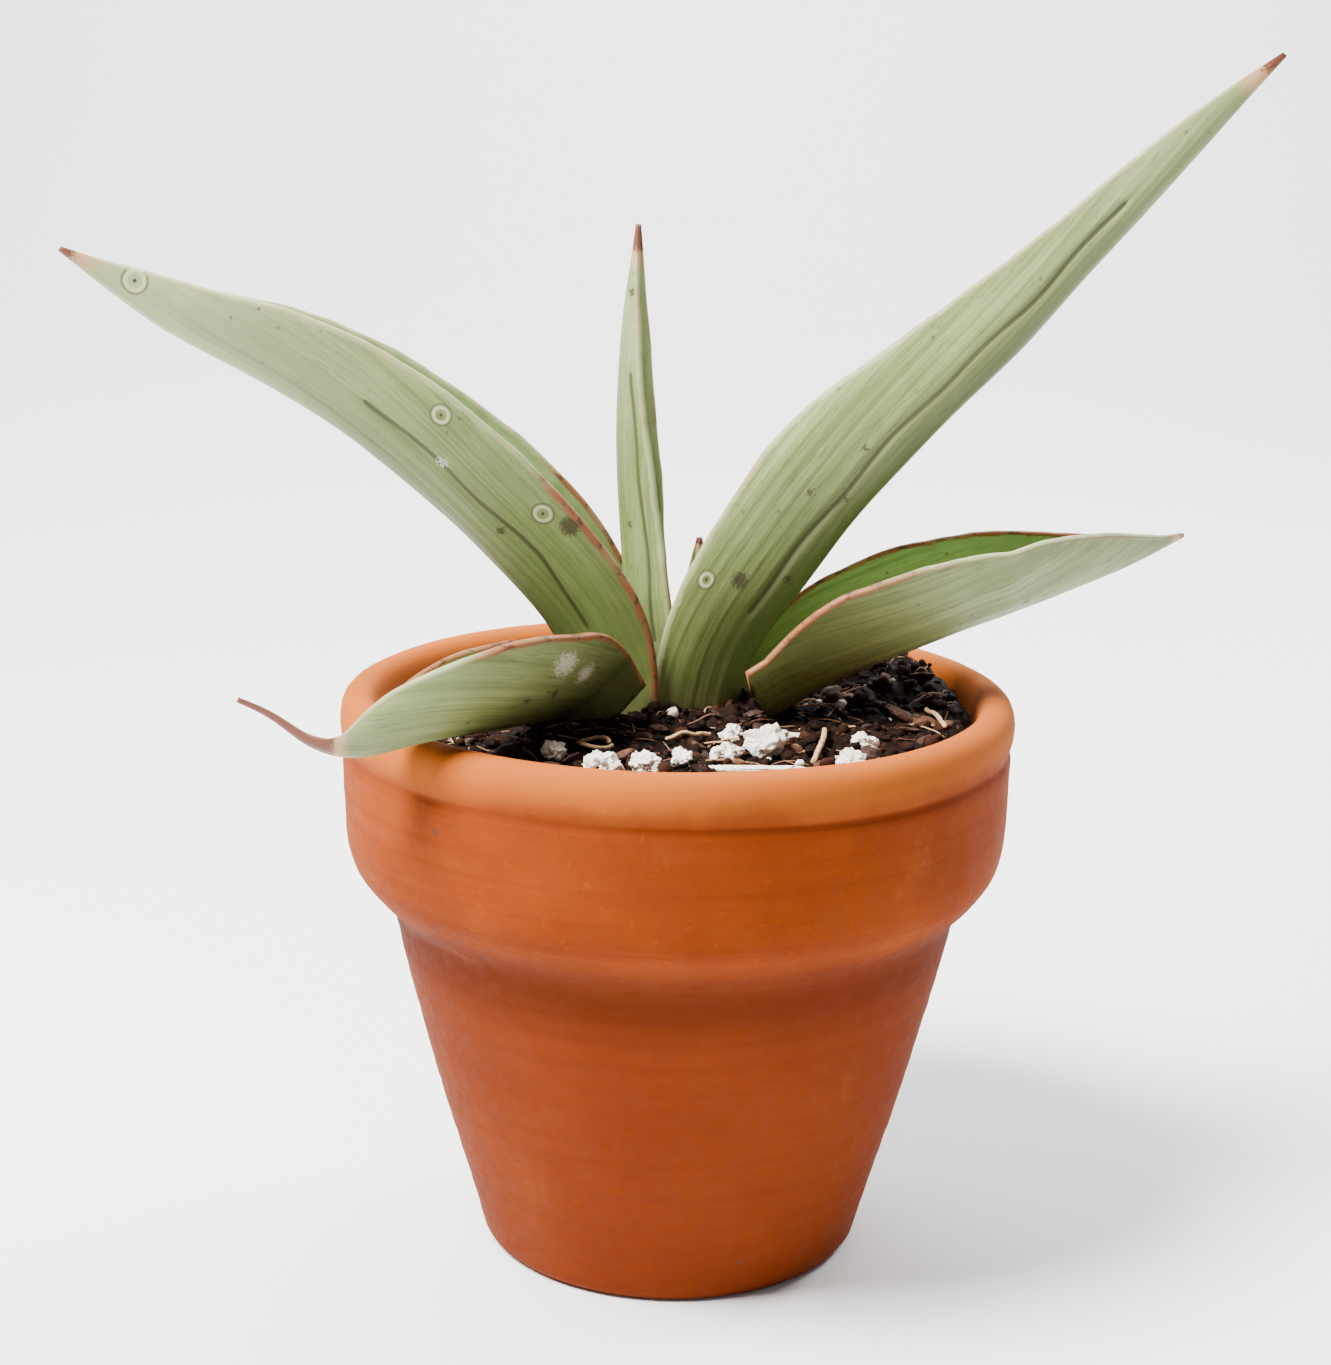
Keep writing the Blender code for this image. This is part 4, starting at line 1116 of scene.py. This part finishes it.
FLAKES = {
    "flake_pale": (10.4, -36.2, 15.0, 1.9, 0.9, 3.0),
    "flake_small": (17.4, -17.2, 3.4, 1.2, 0.8, -12.0),
    "bark_left": (-31.0, 27.0, 7.5, 4.6, 1.6, 35.0),
    "bark_heap": (34.5, 27.0, 8.0, 5.0, 1.7, -40.0),
}
STRAWS = {
    "straw_front": ((22.2, -16.0), (19.6, -32.6), 0.5, 0.42),
    "straw_right": ((38.6, -4.6), (40.6, -13.4), 0.3, 0.36),
    "straw_crown": ((4.9, -16.0), (-1.6, -21.5), 0.4, 0.32),
    "straw_back": ((20.0, 24.5), (27.0, 31.0), 0.4, 0.36),
}
CURL_PLACE = (-12.2, -26.4)
CURL_RADIUS = 2.2
CURL_LIFT = 1.3
CURL_THICKNESS = 0.3


def build_straw(node, start, stop, lift, radius, finish):
    """A straw between two spots on the mix, a little bent and pointed at the ends."""
    steps = 24
    line = []
    for i in range(steps + 1):
        share = i / steps
        x = start[0] + (stop[0] - start[0]) * share + 0.5 * math.sin(math.pi * share)
        y = start[1] + (stop[1] - start[1]) * share
        line.append((x, y, soil_top(x, y) + 1.6 * radius + lift * math.sin(math.pi * share)))
    line = np.array(line)
    for _ in range(6):
        line[1:-1, 2] = (line[:-2, 2] + 2.0 * line[1:-1, 2] + line[2:, 2]) / 4.0
    line[:, 2] += 0.4
    wobble = 1.0 + 0.18 * wander(range(steps + 1), 0.5, radius * 50.0)
    verts, faces = tube(line, radius * wobble, 8)
    tone = np.full(len(verts), 0.9)
    return piece(node + "_dry", verts, faces, finish, (node,), attributes={"tone": tone})


def build_curl(finish):
    """A fibre curled into a ring on the mix."""
    turns = np.linspace(0.0, 1.9 * math.pi, 40)
    middle_x, middle_y = CURL_PLACE
    level = soil_level(middle_x, middle_y) + CURL_LIFT
    line = []
    for a in turns:
        r = CURL_RADIUS + 0.1 * a
        line.append((middle_x + r * math.cos(a), middle_y + r * math.sin(a), level + 0.25 * math.sin(2.0 * a)))
    verts, faces = tube(line, np.full(len(line), CURL_THICKNESS), 7)
    tone = {"tone": np.full(len(verts), 0.55)}
    return piece("fibre_curl_dry", verts, faces, finish, ("fibre_curl",), attributes=tone)


# ---------------------------------------------------------------- assembly
look()
studio()
build_floor(Shader("floor_paper", 0.9).finish((0.86, 0.86, 0.86)))
build_pot(clay_finish())
earth = earth_finish("potting_mix_finish", PEAT_DARK, PEAT_LIGHT, PEAT_RUST)
build_soil(earth)
crumbs = earth_finish("crumb_finish", CRUMB_DARK, CRUMB_LIGHT, CRUMB_RUST, 0.6)
build_lumps("crumbs_fine", 1700, (0.4, 1.3), (0.5, 1.0), 11, crumbs)
build_lumps("crumbs_coarse", 110, (1.0, 2.3), (0.35, 0.8), 12, crumbs, level=2, rough=0.5)
bark = dry_finish("bark_finish", BARK_PALE, BARK_BROWN)
build_lumps("bark_bits", 150, (0.8, 2.6), (0.18, 0.4), 13, bark, 0.2, 0.4, smooth=False)
straw = dry_finish("straw_finish", STRAW_PALE, STRAW_BROWN)
build_fibres("root_hairs", 260, (3.0, 10.0), (0.06, 0.13), 21, straw)
build_fibres("needles", 34, (4.0, 9.0), (0.16, 0.28), 22, straw, 0.6, 0.15)
white = perlite_finish()
build_lumps("perlite_crumbs", 46, (0.35, 1.1), (0.6, 1.0), 31, white, 0.1, 0.3)

for number, (leaf_name, leaf) in enumerate(LEAVES.items()):
    build_leaf(leaf_name, leaf, 1.7 * number + 2.0)

grain_names = sorted(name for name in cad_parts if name.startswith("grain_"))
for number, grain_name in enumerate(grain_names):
    build_grain(grain_name, 3.1 * number + 1.0, white)
for number, (flake_name, place) in enumerate(FLAKES.items()):
    look_of = (bark, "bark_brown") if flake_name.startswith("bark") else (white, "perlite_white")
    build_flake(flake_name, place, 5.3 * number, *look_of)
for straw_name, (start, stop, lift, radius) in STRAWS.items():
    build_straw(straw_name, start, stop, lift, radius, straw)
build_curl(straw)

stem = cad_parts["rhizome"]
stem.data.materials[0] = dry_finish("rhizome_finish", STEM_PALE, STEM_BROWN)
